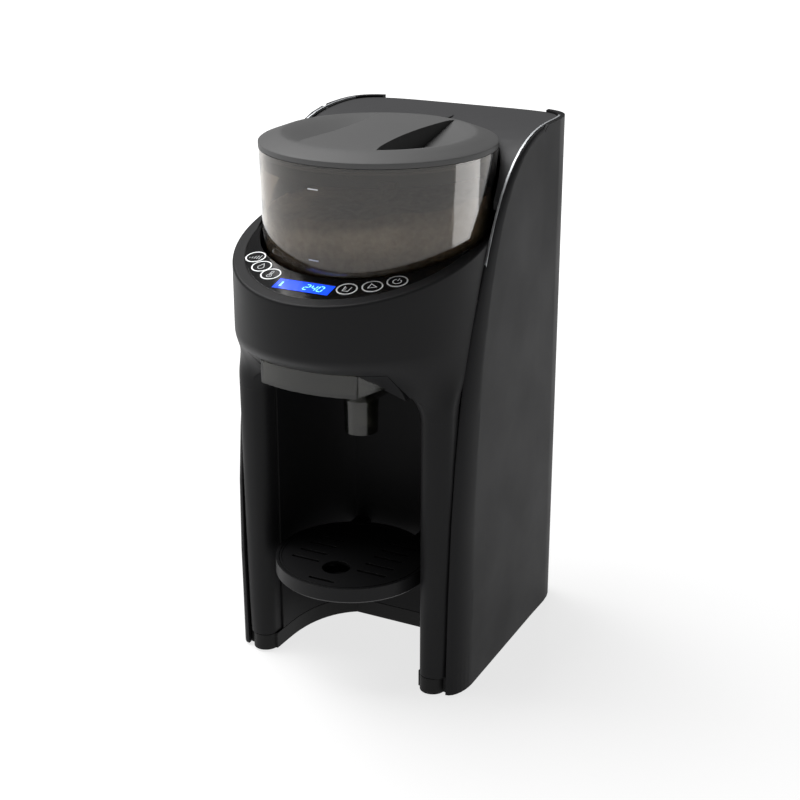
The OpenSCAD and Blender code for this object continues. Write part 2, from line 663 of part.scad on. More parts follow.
module drive_gear() color("#d8d4c4") at_container() difference() {
    union() {
        translate([0, 0, gear_z]) linear_extrude(gear_h) difference() {
            polygon(gear_pts(drive_teeth, gear_m));
            for (a = [0:60:300]) rotate(a + 30) translate([drive_r * 0.66, 0]) circle(r = drive_r * 0.15);
        }
        translate([0, 0, floor_z + 0.4]) cylinder(r = shaft_r, h = gear_z - floor_z);
        translate([0, 0, floor_z + floor_t + 7.3]) cylinder(r = shaft_r + 2, h = gear_z - floor_z - floor_t - 7);
        translate([0, 0, gear_z]) cylinder(r = hub_r, h = seat_z - 0.4 - gear_z);
    }
    // cross slot that takes the stirring wheel's tongue
    for (a = [0, 90]) rotate(a) translate([-7.3, -2.3, seat_z - 6]) cube([14.6, 4.6, 8]);
}

module motor_pinion() color("#cfcbbb") translate([0, pinion_y, gear_z]) {
    linear_extrude(gear_h) rotate(-90 + 180 / pinion_teeth) polygon(gear_pts(pinion_teeth, gear_m));
    translate([0, 0, -8]) cylinder(r = 3, h = gear_h + 9);
}

motor_z = floor_z + floor_t;
module gear_motor() color("#9a9da1") translate([0, pinion_y, 0]) difference() {
    union() {
        translate([0, 0, motor_z - 46]) cylinder(r = motor_r, h = 46);
        translate([0, 0, motor_z - 49]) cylinder(r = 5, h = 4);
        translate([0, 0, motor_z]) cylinder(r = motor_r + 4, h = gear_z - 2.5 - motor_z);
        translate([-18, 9, motor_z]) cube([36, 9, 2]);
    }
    translate([0, 0, gear_z - 9]) cylinder(r = 3 + fit, h = 10);
    for (s = [-1, 1]) translate([s * 14, 14, motor_z - 1]) cylinder(r = 1.6, h = 10);
}

module motor_screws() color("#8d9094") for (s = [-1, 1]) translate([s * 14, pinion_y + 14, motor_z + 2]) {
    translate([0, 0, -6]) cylinder(r = 1.3, h = 6.1);
    cylinder(r = 2.6, h = 1.8);
}

// ---------- water path ----------

nozzle_x = 20;
nozzle_y = container_y - 24;
pump_x = -38;
heater_x = 46;
column_y = (bay_back_y + wall + partition_y) / 2 + 3;
pump_z = base_h + 8;
heater_z = base_h + 30;
heater_l = 120;

module pump_mount() color("#44474a") translate([pump_x - 20, column_y - 15, bottom_z + 3.02])
    difference() {
        cube([40, 30, pump_z - bottom_z - 3.1]);
        translate([6, 6, -1]) cube([28, 18, 30]);
    }
module water_pump() color("#6d7074") translate([pump_x, column_y, pump_z]) {
    cylinder(r = 13, h = 30);
    translate([0, 0, 30]) cylinder(r = 11, h = 22);
    translate([0, 0, 52]) cylinder(r = 4, h = 4);
    translate([0, 0, 22]) rotate([0, 90, 0]) cylinder(r = 3.2, h = 20);
    translate([0, 0, 22]) rotate([-90, 0, 0]) cylinder(r = 3.2, h = 17);
}

module heater() color("#a9acaf") translate([heater_x, column_y, heater_z]) difference() {
    union() {
        cylinder(r = 14, h = heater_l);
        for (z = [18, heater_l - 24]) translate([0, 0, z]) cylinder(r = 15.2, h = 6);
        translate([0, 0, -8]) cylinder(r = 3.2, h = 10);
        translate([0, 0, heater_l - 1]) cylinder(r = 3.2, h = 9);
    }
    translate([14, -3, 40]) cube([10, 6, 40]);
}
module heater_clips() color("#55585b") for (z = [18, heater_l - 24]) translate([heater_x, 0, heater_z + z])
    difference() {
        translate([-17.6, column_y - 17.6, 0.4]) cube([35.2, partition_y - 0.2 - column_y + 17.6, 5.2]);
        translate([0, column_y, -1]) cylinder(r = 15.3, h = 10);
        translate([-30, column_y - 30, -1]) cube([60, 22, 10]);
    }

// Hose: rings square to a smooth line through its points
function catmull(p, i, t) = let (a = p[max(0, i - 1)], b = p[i], c = p[i + 1], d = p[min(len(p) - 1, i + 2)])
    0.5 * (2 * b + (c - a) * t + (2 * a - 5 * b + 4 * c - d) * t * t + (3 * b - a - 3 * c + d) * t * t * t);
function smooth(p, n) = concat([for (i = [0:len(p) - 2]) for (j = [0:n - 1]) catmull(p, i, j / n)],
    [p[len(p) - 1]]);
function unit(v) = v / norm(v);
function side_of(t, prev) = unit(prev - (prev * t) * t);
function frames(p, i = 0, prev = [1, 0.02, 0.01], out = []) = i == len(p) ? out :
    let (t = unit(p[min(len(p) - 1, i + 1)] - p[max(0, i - 1)]), n = side_of(t, prev))
    frames(p, i + 1, n, concat(out, [[n, cross(t, n)]]));
module hose(points, r, sides = 8) {
    p = smooth(points, 4);
    f = frames(p);
    n = len(p);
    loft([for (i = [0:n - 1]) [for (k = [0:sides - 1]) let (a = 360 * k / sides)
        p[i] + r * (cos(a) * f[i][0] + sin(a) * f[i][1])]]);
}

module tank_hose() color("#d9d9d2") hose([[valve_x, valve_y, shelf_h - 15.3],
    [valve_x, valve_y, shelf_h - 18], [valve_x, valve_y, shelf_h - 23],
    [valve_x - 22, valve_y - 4, 31], [valve_x - 48, valve_y - 7, 34], [pump_x, tank_y + 9, pump_z + 22],
    [pump_x, partition_y, pump_z + 22],
    [pump_x, column_y + 19, pump_z + 22], [pump_x, column_y + 17.3, pump_z + 22]], 3);
module pump_hose() color("#d9d9d2") hose([[pump_x + 20.3, column_y, pump_z + 22], [pump_x + 23, column_y, pump_z + 22],
    [pump_x + 30, column_y, pump_z + 22], [heater_x - 24, column_y, pump_z + 8],
    [heater_x - 8, column_y, pump_z + 2], [heater_x, column_y, pump_z + 8],
    [heater_x, column_y, heater_z - 11], [heater_x, column_y, heater_z - 8.3]], 3);
module nozzle_hose() color("#d9d9d2") hose([[heater_x, column_y, heater_z + heater_l + 8.3],
    [heater_x, column_y, heater_z + heater_l + 12], [heater_x, column_y, heater_z + heater_l + 22], [heater_x, column_y, floor_z - 4],
    [heater_x, column_y, floor_z + 6], [heater_x + 1, column_y - 14, floor_z + 12],
    [heater_x - 1, container_y + 14, floor_z + 12], [heater_x - 14, container_y - 10, floor_z + 12],
    [nozzle_x + 3, nozzle_y + 2, floor_z + 14], [nozzle_x, nozzle_y, floor_z + 11.5],
    [nozzle_x, nozzle_y, floor_z + 9.5], [nozzle_x, nozzle_y, floor_z + 7.3]], 3);

module water_nozzle() color("#d0d0ca") translate([nozzle_x, nozzle_y, floor_z - 0.6]) difference() {
    union() {
        cylinder(r1 = 2.6, r2 = 3.4, h = 1.2);
        translate([0, 0, 1]) cylinder(r = 3.4, h = floor_t + 3.6);
        translate([0, 0, floor_t + 0.7]) cylinder(r = 5.4, h = 2);
    }
    translate([0, 0, -1]) cylinder(r = 1.3, h = 30);
}

// ---------- boards ----------

module main_board() color("#2d5a3a") translate([-8, bay_back_y + wall - 0.6, tray_z + 10]) {
    translate([-26, 0.3, 0]) cube([60, 1.6, 84]);
    translate([-18, 1.8, 10]) cube([14, 2, 14]);
    for (i = [0:3]) translate([14, 1.8, 14 + i * 14]) cube([14, 7, 8]);
    translate([-20, 1.8, 40]) cube([20, 10, 24]);
}
module power_board() color("#2d5a3a") translate([-62, partition_y - 2, 96]) {
    cube([46, 1.7, 80]);
    translate([6, -13, 8]) cube([24, 13.2, 22]);
    for (i = [0:2]) translate([10 + i * 12, 0.2, 50]) rotate([90, 0, 0]) cylinder(r = 4.5, h = 14);
}
module funnel_switch() color("#1f1f1f") translate([-30, container_y + 24, floor_z + floor_t + 0.05]) {
    cube([13, 7, 8]);
    translate([3, 3, 7.9]) cube([6, 1, 2]);
}

// ---------- powder container ----------

module powder_container() color("#8c8478", 0.5) at_container() difference() {
    rotate_extrude() polygon([[0, container_z], [foot_r - 2, container_z], [foot_r, container_z + 2],
        [container_r, lid_z - 0.3], [container_r - container_wall, lid_z - 0.3],
        [foot_r - container_wall, container_z + container_floor + 3],
        [foot_r - container_wall - 3, container_z + container_floor], [0, container_z + container_floor]]);
    translate([0, 0, container_z - 1]) cylinder(r = 7.5, h = 6);
    translate([0, -outlet_off, container_z - 1]) cylinder(r = outlet_r, h = 6);
}

module stirring_wheel() color("#e4e2da") at_container() translate([0, 0, container_z + container_floor]) {
    translate([0, 0, 0.4]) cylinder(r = 12, h = 12);
    translate([0, 0, 12.3]) cylinder(r1 = 12, r2 = 5, h = 9);
    translate([0, 0, -container_floor - 0.5]) cylinder(r = 6.6, h = container_floor + 1);
    for (a = [0, 90]) rotate(a) translate([-6.8, -2, -container_floor - 5]) cube([13.6, 4, 4.6]);
    for (a = [0:90:270]) rotate(a + 45) difference() {
        translate([0, -1.6, 0.4]) cube([foot_r - container_wall - 4.5, 3.2, 10]);
        translate([24, -3, 5]) rotate([0, -9, 0]) cube([60, 6, 20]);
    }
}

// Lens between the scoop circle and the grip bar's hollow edge
bar_edge_r = 273;
module scoop() intersection() {
    circle(r = scoop_r);
    translate([grip_half + bar_edge_r, 0]) circle(r = bar_edge_r, $fn = 240);
}

lid_top = lid_rim_z + lid_crown;
scoop_depth = 14;
module container_lid() color("#6a6a6a") at_container() difference() {
    union() {
        rotate_extrude() polygon([[0, lid_z], [container_r + 0.1, lid_z], [container_r + 0.1, lid_rim_z - 0.6],
            [container_r - 0.6, lid_rim_z], [scoop_r + 2, lid_top - 1], [scoop_r - 8, lid_top - 0.2],
            [0, lid_top]]);
        // the scoops' bowl hangs below the lid
        translate([0, 0, lid_top - scoop_depth - 2.2]) rotate_extrude()
            polygon([[0, 0], [grip_half + 4, 0], [scoop_r + 1, scoop_depth - 4.5], [0, scoop_depth - 4.5]]);
    }
    for (s = [-1, 1]) scale([s, 1, 1]) intersection() {
        translate([0, 0, lid_top - 40]) linear_extrude(60) scoop();
        translate([0, 0, lid_top - scoop_depth]) rotate_extrude() polygon([[0, 0], [grip_half, 0],
            [scoop_r, scoop_depth - 0.6], [scoop_r, scoop_depth + 5], [0, scoop_depth + 5]]);
    }
    // hollow inside the grip bar
    intersection() {
        translate([-grip_half + 2.4, -scoop_r + 16, lid_top - scoop_depth - 5])
            cube([2 * grip_half - 4.8, 2 * scoop_r - 32, scoop_depth + 2]);
        cylinder(r = scoop_r, h = deck_h + 10);
    }
}

module lid_skirt() color("#5c6a74") at_container() difference() {
    rotate_extrude() polygon([[container_r - 5.5, lid_z - 0.02], [container_r - container_wall - 0.5, lid_z - 0.02],
        [container_r - container_wall - 0.9, lid_z - skirt_h], [container_r - 5.5, lid_z - skirt_h]]);
    // bayonet notches
    for (a = [0:120:240]) rotate(a - 58) translate([container_r - 8, -5, lid_z - skirt_h - 1]) cube([12, 10, 4.5]);
    // groove of the sealing ring
    translate([0, 0, lid_z - 4]) tube(container_r, container_r - 4, 2);
}
module lid_seal() color("#8b8f92") at_container() translate([0, 0, lid_z - 3.9])
    tube(container_r - container_wall - 0.35, container_r - 3.95, 1.8);

// ---------- funnel ----------

module funnel_mouth(o) intersection() {
    polygon(bay_plan(-1.5 - o, front_y));
    translate([0, container_y]) circle(r = edge_r - 1 - o);
    polygon(mirrored([[31 - o, front_y], [32.5 - o, front_y + 20], [funnel_w - o, leg_front_y + 3], [funnel_w - o, back_y]]));
}
module funnel_form(o) {
    translate([0, 0, arch_h + 7 + (o > 0 ? o : 0)]) linear_extrude(funnel_top - arch_h - 7 + (o > 0 ? 1 : 0))
        funnel_mouth(o);
    intersection() {
        translate([0, spout_y, 0]) rotate_extrude() polygon([[0, spout_z - (o > 0 ? 1 : 0)],
            [spout_r + funnel_wall - o, spout_z - (o > 0 ? 1 : 0)],
            [spout_r + funnel_wall + 0.6 - o, arch_h - 18], [funnel_w - o, arch_h + 7.01 + o],
            [0, arch_h + 7.01 + o]]);
        linear_extrude(deck_h) polygon(bay_plan(-1.5 - o, front_y - 10));
    }
}
module mixing_funnel() color("#4a4a42", 0.7) difference() {
    union() {
        funnel_form(0);
        // flanges that ride in the head floor's rails
        sides() translate([funnel_w - 1, leg_front_y - 4, floor_z - 3.4])
            cube([3.8, rail_end_y - 2 - leg_front_y + 4, 2]);
    }
    funnel_form(funnel_wall);
}

// ---------- tray ----------

hook_x = 24;
hook_w = 10;
module drip_tray() color("#1b1b1b") {
    translate([0, tray_y, 0]) difference() {
        rotate_extrude() polygon([[0, tray_z - tray_h], [tray_r - 1.2, tray_z - tray_h],
            [tray_r, tray_z - tray_h + 1.2], [tray_r, tray_z], [tray_r - 2, tray_z],
            [tray_r - 2, tray_z - tray_h + 2.2], [0, tray_z - tray_h + 2.2]]);
        translate([0, 0, tray_z - tray_h - 1]) cylinder(r = 1.5, h = 5);
    }
    // ledge under the cover
    translate([0, tray_y, tray_z - tray_h + 2.1]) tube(tray_r - 1.9, tray_r - 5, tray_h - 4.7);
    // arms and hooks into the bay's back wall
    sides() translate([hook_x - hook_w / 2, 0, hook_z[0]]) {
        translate([0, bay_back_y - 22, 0]) cube([hook_w, 22 + wall + 1.4, 3.4]);
        translate([0, bay_back_y + wall, -0.3]) cube([hook_w, 1.4, 3.9]);
    }
}

slot_rows = [18.4, 7.7, -3.7, -13.8, -24];
module tray_cover() color("#232323") translate([0, tray_y, tray_z - 2.5]) difference() {
    union() {
        cylinder(r = cover_r + 0.6, h = 2.2);
        translate([0, 0, 2.1]) tube(cover_r + 0.6, cover_r - 0.6, 0.5);
    }
    translate([0, -tray_r * 0.43, -1]) cylinder(r = drain_r, h = 6);
    sides() for (y = slot_rows) translate([tray_r * 0.485, -y, 0]) slot(20);
    translate([0, -tray_r * 0.81, 0]) slot(18);
}
module slot(l) translate([0, 0, -1]) linear_extrude(6) {
    square([l - 2.4, 2.4], center = true);
    for (s = [-1, 1]) translate([s * (l - 2.4) / 2, 0]) circle(r = 1.2);
}

// ---------- water tank ----------

module tank_plan(o) intersection() {
    polygon(body_plan(1 + o));
    translate([-tank_w / 2 + gap + o, tank_y + o]) square([tank_w - 2 * (gap + o), body_d]);
}
module water_tank() color("#5a6066", 0.6) difference() {
    translate([0, 0, shelf_h + 0.4]) linear_extrude(tank_top - shelf_h - 0.4) tank_plan(0);
    translate([0, 0, shelf_h + 0.4 + 2.4]) linear_extrude(deck_h) tank_plan(2.2);
    translate([valve_x, valve_y, shelf_h - 1]) cylinder(r = valve_r - 1 + fit, h = 10);
}
module tank_valve() color("#e2e2dc") translate([valve_x, valve_y, shelf_h + 0.4]) {
    translate([0, 0, -2]) cylinder(r = valve_r - 1, h = 14);
    translate([0, 0, 2.7]) cylinder(r = valve_r + 2, h = 2);
}
module valve_cap() color("#c9c9c4") translate([valve_x, valve_y, shelf_h + 2.8]) difference() {
    cylinder(r = valve_r + 6, h = 15);
    translate([0, 0, -1]) cylinder(r = valve_r + 4, h = 13.6);
    translate([0, 0, 10]) cylinder(r = valve_r - 0.6, h = 10);
    for (a = [0:60:300]) rotate(a) translate([valve_r, -2, 3]) cube([10, 4, 6]);
}

// ---------- tank lid: the whole dark deck ----------

module tank_lid() color("#47474a") {
    difference() {
        intersection() {
            difference() {
                side_extrude(body_w + 20) polygon(behind_sweep(deck_drop, 0));
                side_extrude(body_w + 30) polygon(behind_sweep(deck_drop + deck_t, -1));
            }
            linear_extrude(deck_h + 5) polygon(body_plan(flange_in + gap));
            translate([-body_w, deck_front_y, 0]) cube([2 * body_w, body_d, deck_h + 5]);
        }
        at_container() cylinder(r = container_r + 1, h = deck_h + 20);
    }
    // ring that sits on the tank's rim, and the lip inside it
    difference() {
        translate([0, 0, tank_top + 0.3]) linear_extrude(deck_h - deck_drop - 0.5 - tank_top - 0.3) tank_plan(0.5);
        translate([0, 0, tank_top - 1]) linear_extrude(deck_h) tank_plan(4.4);
    }
    difference() {
        translate([0, 0, tank_top - 4]) linear_extrude(8) tank_plan(2.6);
        translate([0, 0, tank_top - 5]) linear_extrude(12) tank_plan(4.4);
    }
    // finger tab behind the container
    difference() {
        translate([0, container_y + container_r + 4, deck_h - deck_drop - 2]) cylinder(r = 12, h = 2.2);
        at_container() cylinder(r = container_r + 1, h = deck_h + 20);
    }
}

base_tray();
rubber_feet();
base_screws();
front_housing();
bay_liner();
left_wing();
right_wing();
left_edge_trim();
right_edge_trim();
rear_housing();
head_floor();
container_seat();
seat_seal();
powder_chute();
control_panel();
button_rings();
display_window();
display_module();
button_board();
gear_motor();
motor_screws();
drive_bush();
water_pump();
pump_mount();
heater();
heater_clips();
tank_hose();
pump_hose();
nozzle_hose();
water_nozzle();
main_board();
power_board();
funnel_switch();
cord_gland();
tank_seal();
drive_gear();
motor_pinion();
powder_container();
stirring_wheel();
container_lid();
lid_skirt();
lid_seal();
mixing_funnel();
drip_tray();
tray_cover();
water_tank();
tank_lid();
tank_valve();
valve_cap();
button_level();
button_water();
button_warmth();
button_amount();
button_start();
button_power();
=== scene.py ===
# Baby formula maker: finishes, front housing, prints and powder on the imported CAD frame.
# Metres, +Z up, the machine's front towards -Y. Sizes in millimetres are multiplied by MM.
import json
import math

import bmesh
import bpy
from mathutils import Matrix, Vector, noise


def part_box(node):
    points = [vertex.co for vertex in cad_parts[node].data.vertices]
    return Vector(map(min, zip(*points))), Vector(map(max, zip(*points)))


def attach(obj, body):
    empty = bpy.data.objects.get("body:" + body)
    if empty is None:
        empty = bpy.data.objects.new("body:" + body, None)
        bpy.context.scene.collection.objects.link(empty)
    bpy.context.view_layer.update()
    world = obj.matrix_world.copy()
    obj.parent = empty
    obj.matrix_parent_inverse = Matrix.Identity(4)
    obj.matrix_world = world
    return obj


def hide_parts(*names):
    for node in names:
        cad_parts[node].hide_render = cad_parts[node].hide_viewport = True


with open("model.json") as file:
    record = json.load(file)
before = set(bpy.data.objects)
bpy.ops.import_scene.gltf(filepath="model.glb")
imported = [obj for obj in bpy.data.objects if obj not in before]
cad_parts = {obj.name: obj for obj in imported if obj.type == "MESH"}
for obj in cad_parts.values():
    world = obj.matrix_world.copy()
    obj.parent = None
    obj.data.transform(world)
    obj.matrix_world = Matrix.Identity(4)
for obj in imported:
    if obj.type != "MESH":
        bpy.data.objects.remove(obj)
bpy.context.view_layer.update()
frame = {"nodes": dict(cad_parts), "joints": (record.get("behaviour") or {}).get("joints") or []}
nodes = frame["nodes"]
MM = 0.001

# ---------- camera: solved from the photograph's upright edges, lid, container and tray ----------

AIM = Vector((0, 17.4, 160.4)) * MM
AZIMUTH, ELEVATION = math.radians(27.29), math.radians(20.57)
DISTANCE = 1040.9 * MM
LENS, SENSOR = 71.85, 36
SEES_TO = 30  # metres, past the sweep's far edge


def add_camera():
    """The photograph's view: from the machine's front right and a little above."""
    camera = bpy.data.objects.new("camera", bpy.data.cameras.new("camera"))
    camera.data.lens, camera.data.sensor_width = LENS, SENSOR
    camera.data.clip_end = SEES_TO
    away = Vector((math.sin(AZIMUTH) * math.cos(ELEVATION),
                   -math.cos(AZIMUTH) * math.cos(ELEVATION),
                   math.sin(ELEVATION)))
    camera.location = AIM + away * DISTANCE
    camera.rotation_euler = away.to_track_quat("Z", "Y").to_euler()
    bpy.context.scene.collection.objects.link(camera)
    bpy.context.scene.camera = camera


# ---------- materials ----------

# A spark-eroded grain is about 0.3 mm wide. It is drawn three times as coarse, so that it shows.
ERODED_GRAIN, ERODED_DEPTH = 0.9 * MM, 0.02 * MM
FINE_DEPTH = 0.005 * MM     # the ghost of a grain on seals, hoses and acetal
MOULD_EDGE = 0.7 * MM       # radius that breaks every edge of a moulding
GLOSS_PATCH = 45 * MM       # how far apart a moulding's gloss changes
FLOW_LINE, FLOW_DEPTH = 14 * MM, 0.05 * MM
DISPLAY_PATCH = 16 * MM     # uneven backlight
POWDER_CLUMP, CLUMP_DEPTH = 5 * MM, 0.8 * MM


def linear(colour):
    """sRGB hex text to a linear colour with alpha 1."""
    parts = [int(colour[i:i + 2], 16) / 255 for i in (1, 3, 5)]
    return [p / 12.92 if p <= 0.04045 else ((p + 0.055) / 1.055) ** 2.4 for p in parts] + [1]


def add_node(tree, kind, inputs=None, **settings):
    """A node with its settings. An input takes a number, a colour or the output that feeds it."""
    node = tree.nodes.new(kind)
    for name, value in settings.items():
        setattr(node, name, value)
    for name, value in (inputs or {}).items():
        if isinstance(value, bpy.types.NodeSocket):
            tree.links.new(value, node.inputs[name])
        else:
            node.inputs[name].default_value = value
    return node


def new_material(name, colour, roughness, **shader):
    """A material with one Principled shader, and the tree to add its surface to."""
    material = bpy.data.materials.new(name)
    material.use_nodes = True
    tree = material.node_tree
    surface = tree.nodes["Principled BSDF"]
    surface.inputs["Base Color"].default_value = linear(colour)
    surface.inputs["Roughness"].default_value = roughness
    for socket, value in shader.items():
        surface.inputs[socket.replace("_", " ")].default_value = value
    material.diffuse_color = linear(colour)
    return material, tree, surface


def add_grain(tree, surface, size, height, strength, edge):
    """Bump of an eroded or moulded grain: size is the width of a grain and height its depth.
    Edges catch the light as if they were rounded to the radius edge, as a moulding's are."""
    place = add_node(tree, "ShaderNodeTexCoord").outputs["Object"]
    grain = add_node(tree, "ShaderNodeTexNoise", {"Vector": place, "Scale": 1 / size, "Detail": 2})
    bump = add_node(tree, "ShaderNodeBump", {"Height": grain.outputs["Fac"], "Distance": height,
                                             "Strength": strength})
    if edge:
        rounded = add_node(tree, "ShaderNodeBevel", {"Radius": edge}, samples=4)
        tree.links.new(rounded.outputs["Normal"], bump.inputs["Normal"])
    tree.links.new(bump.outputs["Normal"], surface.inputs["Normal"])
    return place


def moulded(name, colour, low, high, grain=ERODED_GRAIN, height=ERODED_DEPTH, strength=0.4,
            edge=MOULD_EDGE, **shader):
    """Injection-moulded plastic: a grain, and a roughness that drifts between low and high."""
    material, tree, surface = new_material(name, colour, (low + high) / 2, IOR=1.53, **shader)
    place = add_grain(tree, surface, grain, height, strength, edge)
    patch = add_node(tree, "ShaderNodeTexNoise", {"Vector": place, "Scale": 1 / GLOSS_PATCH,
                                                  "Detail": 3})
    span = add_node(tree, "ShaderNodeMapRange", {"Value": patch.outputs["Fac"], "From Min": 0.3,
                                                 "From Max": 0.7, "To Min": low, "To Max": high})
    tree.links.new(span.outputs["Result"], surface.inputs["Roughness"])
    return material


def clear_plastic(name, colour, roughness):
    """Clear moulded wall, tinted in the mass: light passes, and flow lines ripple its gloss."""
    material, tree, surface = new_material(name, colour, roughness, IOR=1.5,
                                           Transmission_Weight=1.0)
    add_grain(tree, surface, FLOW_LINE, FLOW_DEPTH, 0.15, None)
    return material


def metal(name, colour, low, high, lay=(1, 1, 1), grain=0.5 * MM):
    """Metal whose fine lines run along the axis with the small number in lay."""
    material, tree, surface = new_material(name, colour, (low + high) / 2, Metallic=1.0)
    place = add_node(tree, "ShaderNodeTexCoord").outputs["Object"]
    lines = add_node(tree, "ShaderNodeMapping", {"Vector": place, "Scale": lay})
    streaks = add_node(tree, "ShaderNodeTexNoise", {"Vector": lines.outputs["Vector"],
                                                    "Scale": 1 / grain, "Detail": 2})
    span = add_node(tree, "ShaderNodeMapRange", {"Value": streaks.outputs["Fac"], "To Min": low,
                                                 "To Max": high})
    tree.links.new(span.outputs["Result"], surface.inputs["Roughness"])
    return material


def glowing(name, colour, strength, patches=None):
    """Lit display: the colour glows, a little unevenly where patches names a second colour."""
    material, tree, surface = new_material(name, colour, 0.2, Emission_Strength=strength)
    surface.inputs["Emission Color"].default_value = linear(colour)
    if patches:
        place = add_node(tree, "ShaderNodeTexCoord").outputs["Object"]
        patch = add_node(tree, "ShaderNodeTexNoise", {"Vector": place, "Scale": 1 / DISPLAY_PATCH,
                                                      "Detail": 0})
        mix = add_node(tree, "ShaderNodeMix", {"Factor": patch.outputs["Fac"]}, data_type="RGBA")
        mix.inputs["A"].default_value = linear(colour)
        mix.inputs["B"].default_value = linear(patches)
        tree.links.new(mix.outputs["Result"], surface.inputs["Emission Color"])
    return material


def milk_powder():
    """Spray-dried milk: dull cream grains that clump, with a soft inner glow."""
    material, tree, surface = new_material("spray_dried_milk_powder", "#efe6d4", 0.95,
                                           Subsurface_Weight=0.1)
    surface.inputs["Subsurface Radius"].default_value = (2 * MM, 1.5 * MM, MM)
    place = add_node(tree, "ShaderNodeTexCoord").outputs["Object"]
    clumps = add_node(tree, "ShaderNodeTexNoise", {"Vector": place, "Scale": 1 / POWDER_CLUMP,
                                                   "Detail": 6, "Roughness": 0.7})
    # Painted shade and painted light: the hollows between clumps are a darker cream, their tops a
    # paler one, on the noise that also raises the bump
    clump_light_and_shade = add_node(tree, "ShaderNodeValToRGB", {"Fac": clumps.outputs["Fac"]})
    shaded, lit = clump_light_and_shade.color_ramp.elements
    shaded.position, shaded.color = 0.3, linear("#c9bda6")
    lit.position, lit.color = 0.62, linear("#f3ecdd")
    tree.links.new(clump_light_and_shade.outputs["Color"], surface.inputs["Base Color"])
    bump = add_node(tree, "ShaderNodeBump", {"Height": clumps.outputs["Fac"],
                                             "Distance": CLUMP_DEPTH, "Strength": 0.8})
    tree.links.new(bump.outputs["Normal"], surface.inputs["Normal"])
    return material


FINISH = {
    # Matt ABS with an eroded grain: near black under a soft grey sheen
    "front": moulded("matt_abs_housing", "#1e1e1f", 0.44, 0.52, Specular_IOR_Level=0.1),
    # The same ABS, a little rougher, and painted a shade darker: painted shade low by the table and
    # in the bay
    "base": moulded("matt_abs_base_painted_shade", "#191919", 0.5, 0.6, Specular_IOR_Level=0.15),
    "liner": moulded("matt_abs_bay_wall_painted_shade", "#1a1a1b", 0.5, 0.58, Specular_IOR_Level=0.1),
    "rear": moulded("matt_abs_rear_housing", "#1f1f20", 0.48, 0.56, Specular_IOR_Level=0.1),
    # Satin ABS: broad pale highlights along the rolled edges
    "wing": moulded("satin_abs_side_panel", "#262627", 0.4, 0.48, Specular_IOR_Level=0.05),
    # The deck is painted a paler grey than the housing's dark ABS: painted light on its upward face
    "deck": moulded("satin_abs_deck_painted_top_light", "#414142", 0.4, 0.48, Specular_IOR_Level=0.1),
    # Grey ABS with a finer grain: an even mid grey that shades softly in the finger scoops
    "lid": moulded("matt_abs_container_lid", "#595959", 0.46, 0.54, grain=0.7 * MM,
                   Specular_IOR_Level=0.12),
    # Matt polypropylene: a dull blue grey ring. It stands against the clear wall, so its edges
    # aren't rounded, which would speckle them
    "skirt": moulded("matt_pp_lid_skirt", "#39434b", 0.5, 0.6, edge=None, Specular_IOR_Level=0.2),
    # Matt ABS with a fine grain: black, with dull light along the slots
    "tray": moulded("matt_abs_drip_tray", "#1c1c1d", 0.42, 0.5, grain=0.6 * MM,
                    Specular_IOR_Level=0.12),
    # Plain black ABS as it leaves the mould
    "inner_dark": moulded("matt_abs_inner_frame", "#1a1b1c", 0.5, 0.6, Specular_IOR_Level=0.2),
    # Acetal: smooth, waxy off-white
    "inner_white": moulded("acetal_inner_part", "#d9d5c6", 0.35, 0.45, height=FINE_DEPTH),
    # Gloss PMMA over black print, and gloss ABS: clear reflections, with slow waves in them
    "panel": moulded("gloss_pmma_panel", "#0a0a0b", 0.14, 0.2, grain=30 * MM, height=0.05 * MM,
                     strength=0.1, Specular_IOR_Level=0.25),
    "button": moulded("gloss_abs_button", "#0b0b0d", 0.16, 0.24, grain=20 * MM, height=0.03 * MM,
                      strength=0.1, Specular_IOR_Level=0.25),
    # Satin nickel plate: pale silver that mirrors nothing
    "trim": metal("satin_plated_edge_strip", "#b4b6b8", 0.5, 0.58),
    "ring": metal("satin_plated_button_ring", "#e4e5e6", 0.5, 0.6),
    # Zinc plate: small cool glints
    "steel": metal("zinc_plated_steel", "#a4a6a8", 0.28, 0.42),
    # Drawn can: streaks down its side
    "motor": metal("pressed_steel_can", "#8e9194", 0.3, 0.45, lay=(1, 1, 0.05)),
    # Sand cast: a coarse dull silver
    "heater": metal("cast_aluminium_heater", "#a9acaf", 0.4, 0.55, grain=1.2 * MM),
    # Sintered: dull brown gold
    "bush": metal("sintered_bronze_bush", "#b08d57", 0.35, 0.5),
    # SAN, clear as glass under a warm or cool smoke, and polypropylene, which blurs what's behind
    "container": clear_plastic("smoked_san_container", "#9c948a", 0.04),
    "tank": clear_plastic("smoked_san_tank", "#7c8084", 0.06),
    "funnel": clear_plastic("smoked_pp_funnel", "#77776a", 0.22),
    # Silicone: soft and dull, and the hoses let a little light in
    "seal": moulded("silicone_seal", "#7b8084", 0.55, 0.65, height=FINE_DEPTH),
    "hose": moulded("silicone_hose", "#d9d9d2", 0.35, 0.45, height=FINE_DEPTH,
                    Subsurface_Weight=0.1),
    # Rubber: flat black
    "foot": moulded("rubber_foot", "#222222", 0.7, 0.8, grain=0.5 * MM),
    # Solder mask on glass epoxy: dark green with a soft shine over the weave
    "board": moulded("solder_masked_board", "#1f4a2b", 0.3, 0.4, grain=2 * MM, height=0.01 * MM),
    # Backlit glass: strong blue, a little darker in patches, and ice blue segments
    "display": glowing("lit_display_glass", "#1447e6", 1.0, patches="#0d35d8"),
    "digit": glowing("lit_display_digit", "#79d8ff", 1.6),
    # Screen print: flat off-white ink
    "print": moulded("white_screen_print", "#d4d6d8", 0.4, 0.5, height=0.002 * MM),
    "powder": milk_powder(),
}

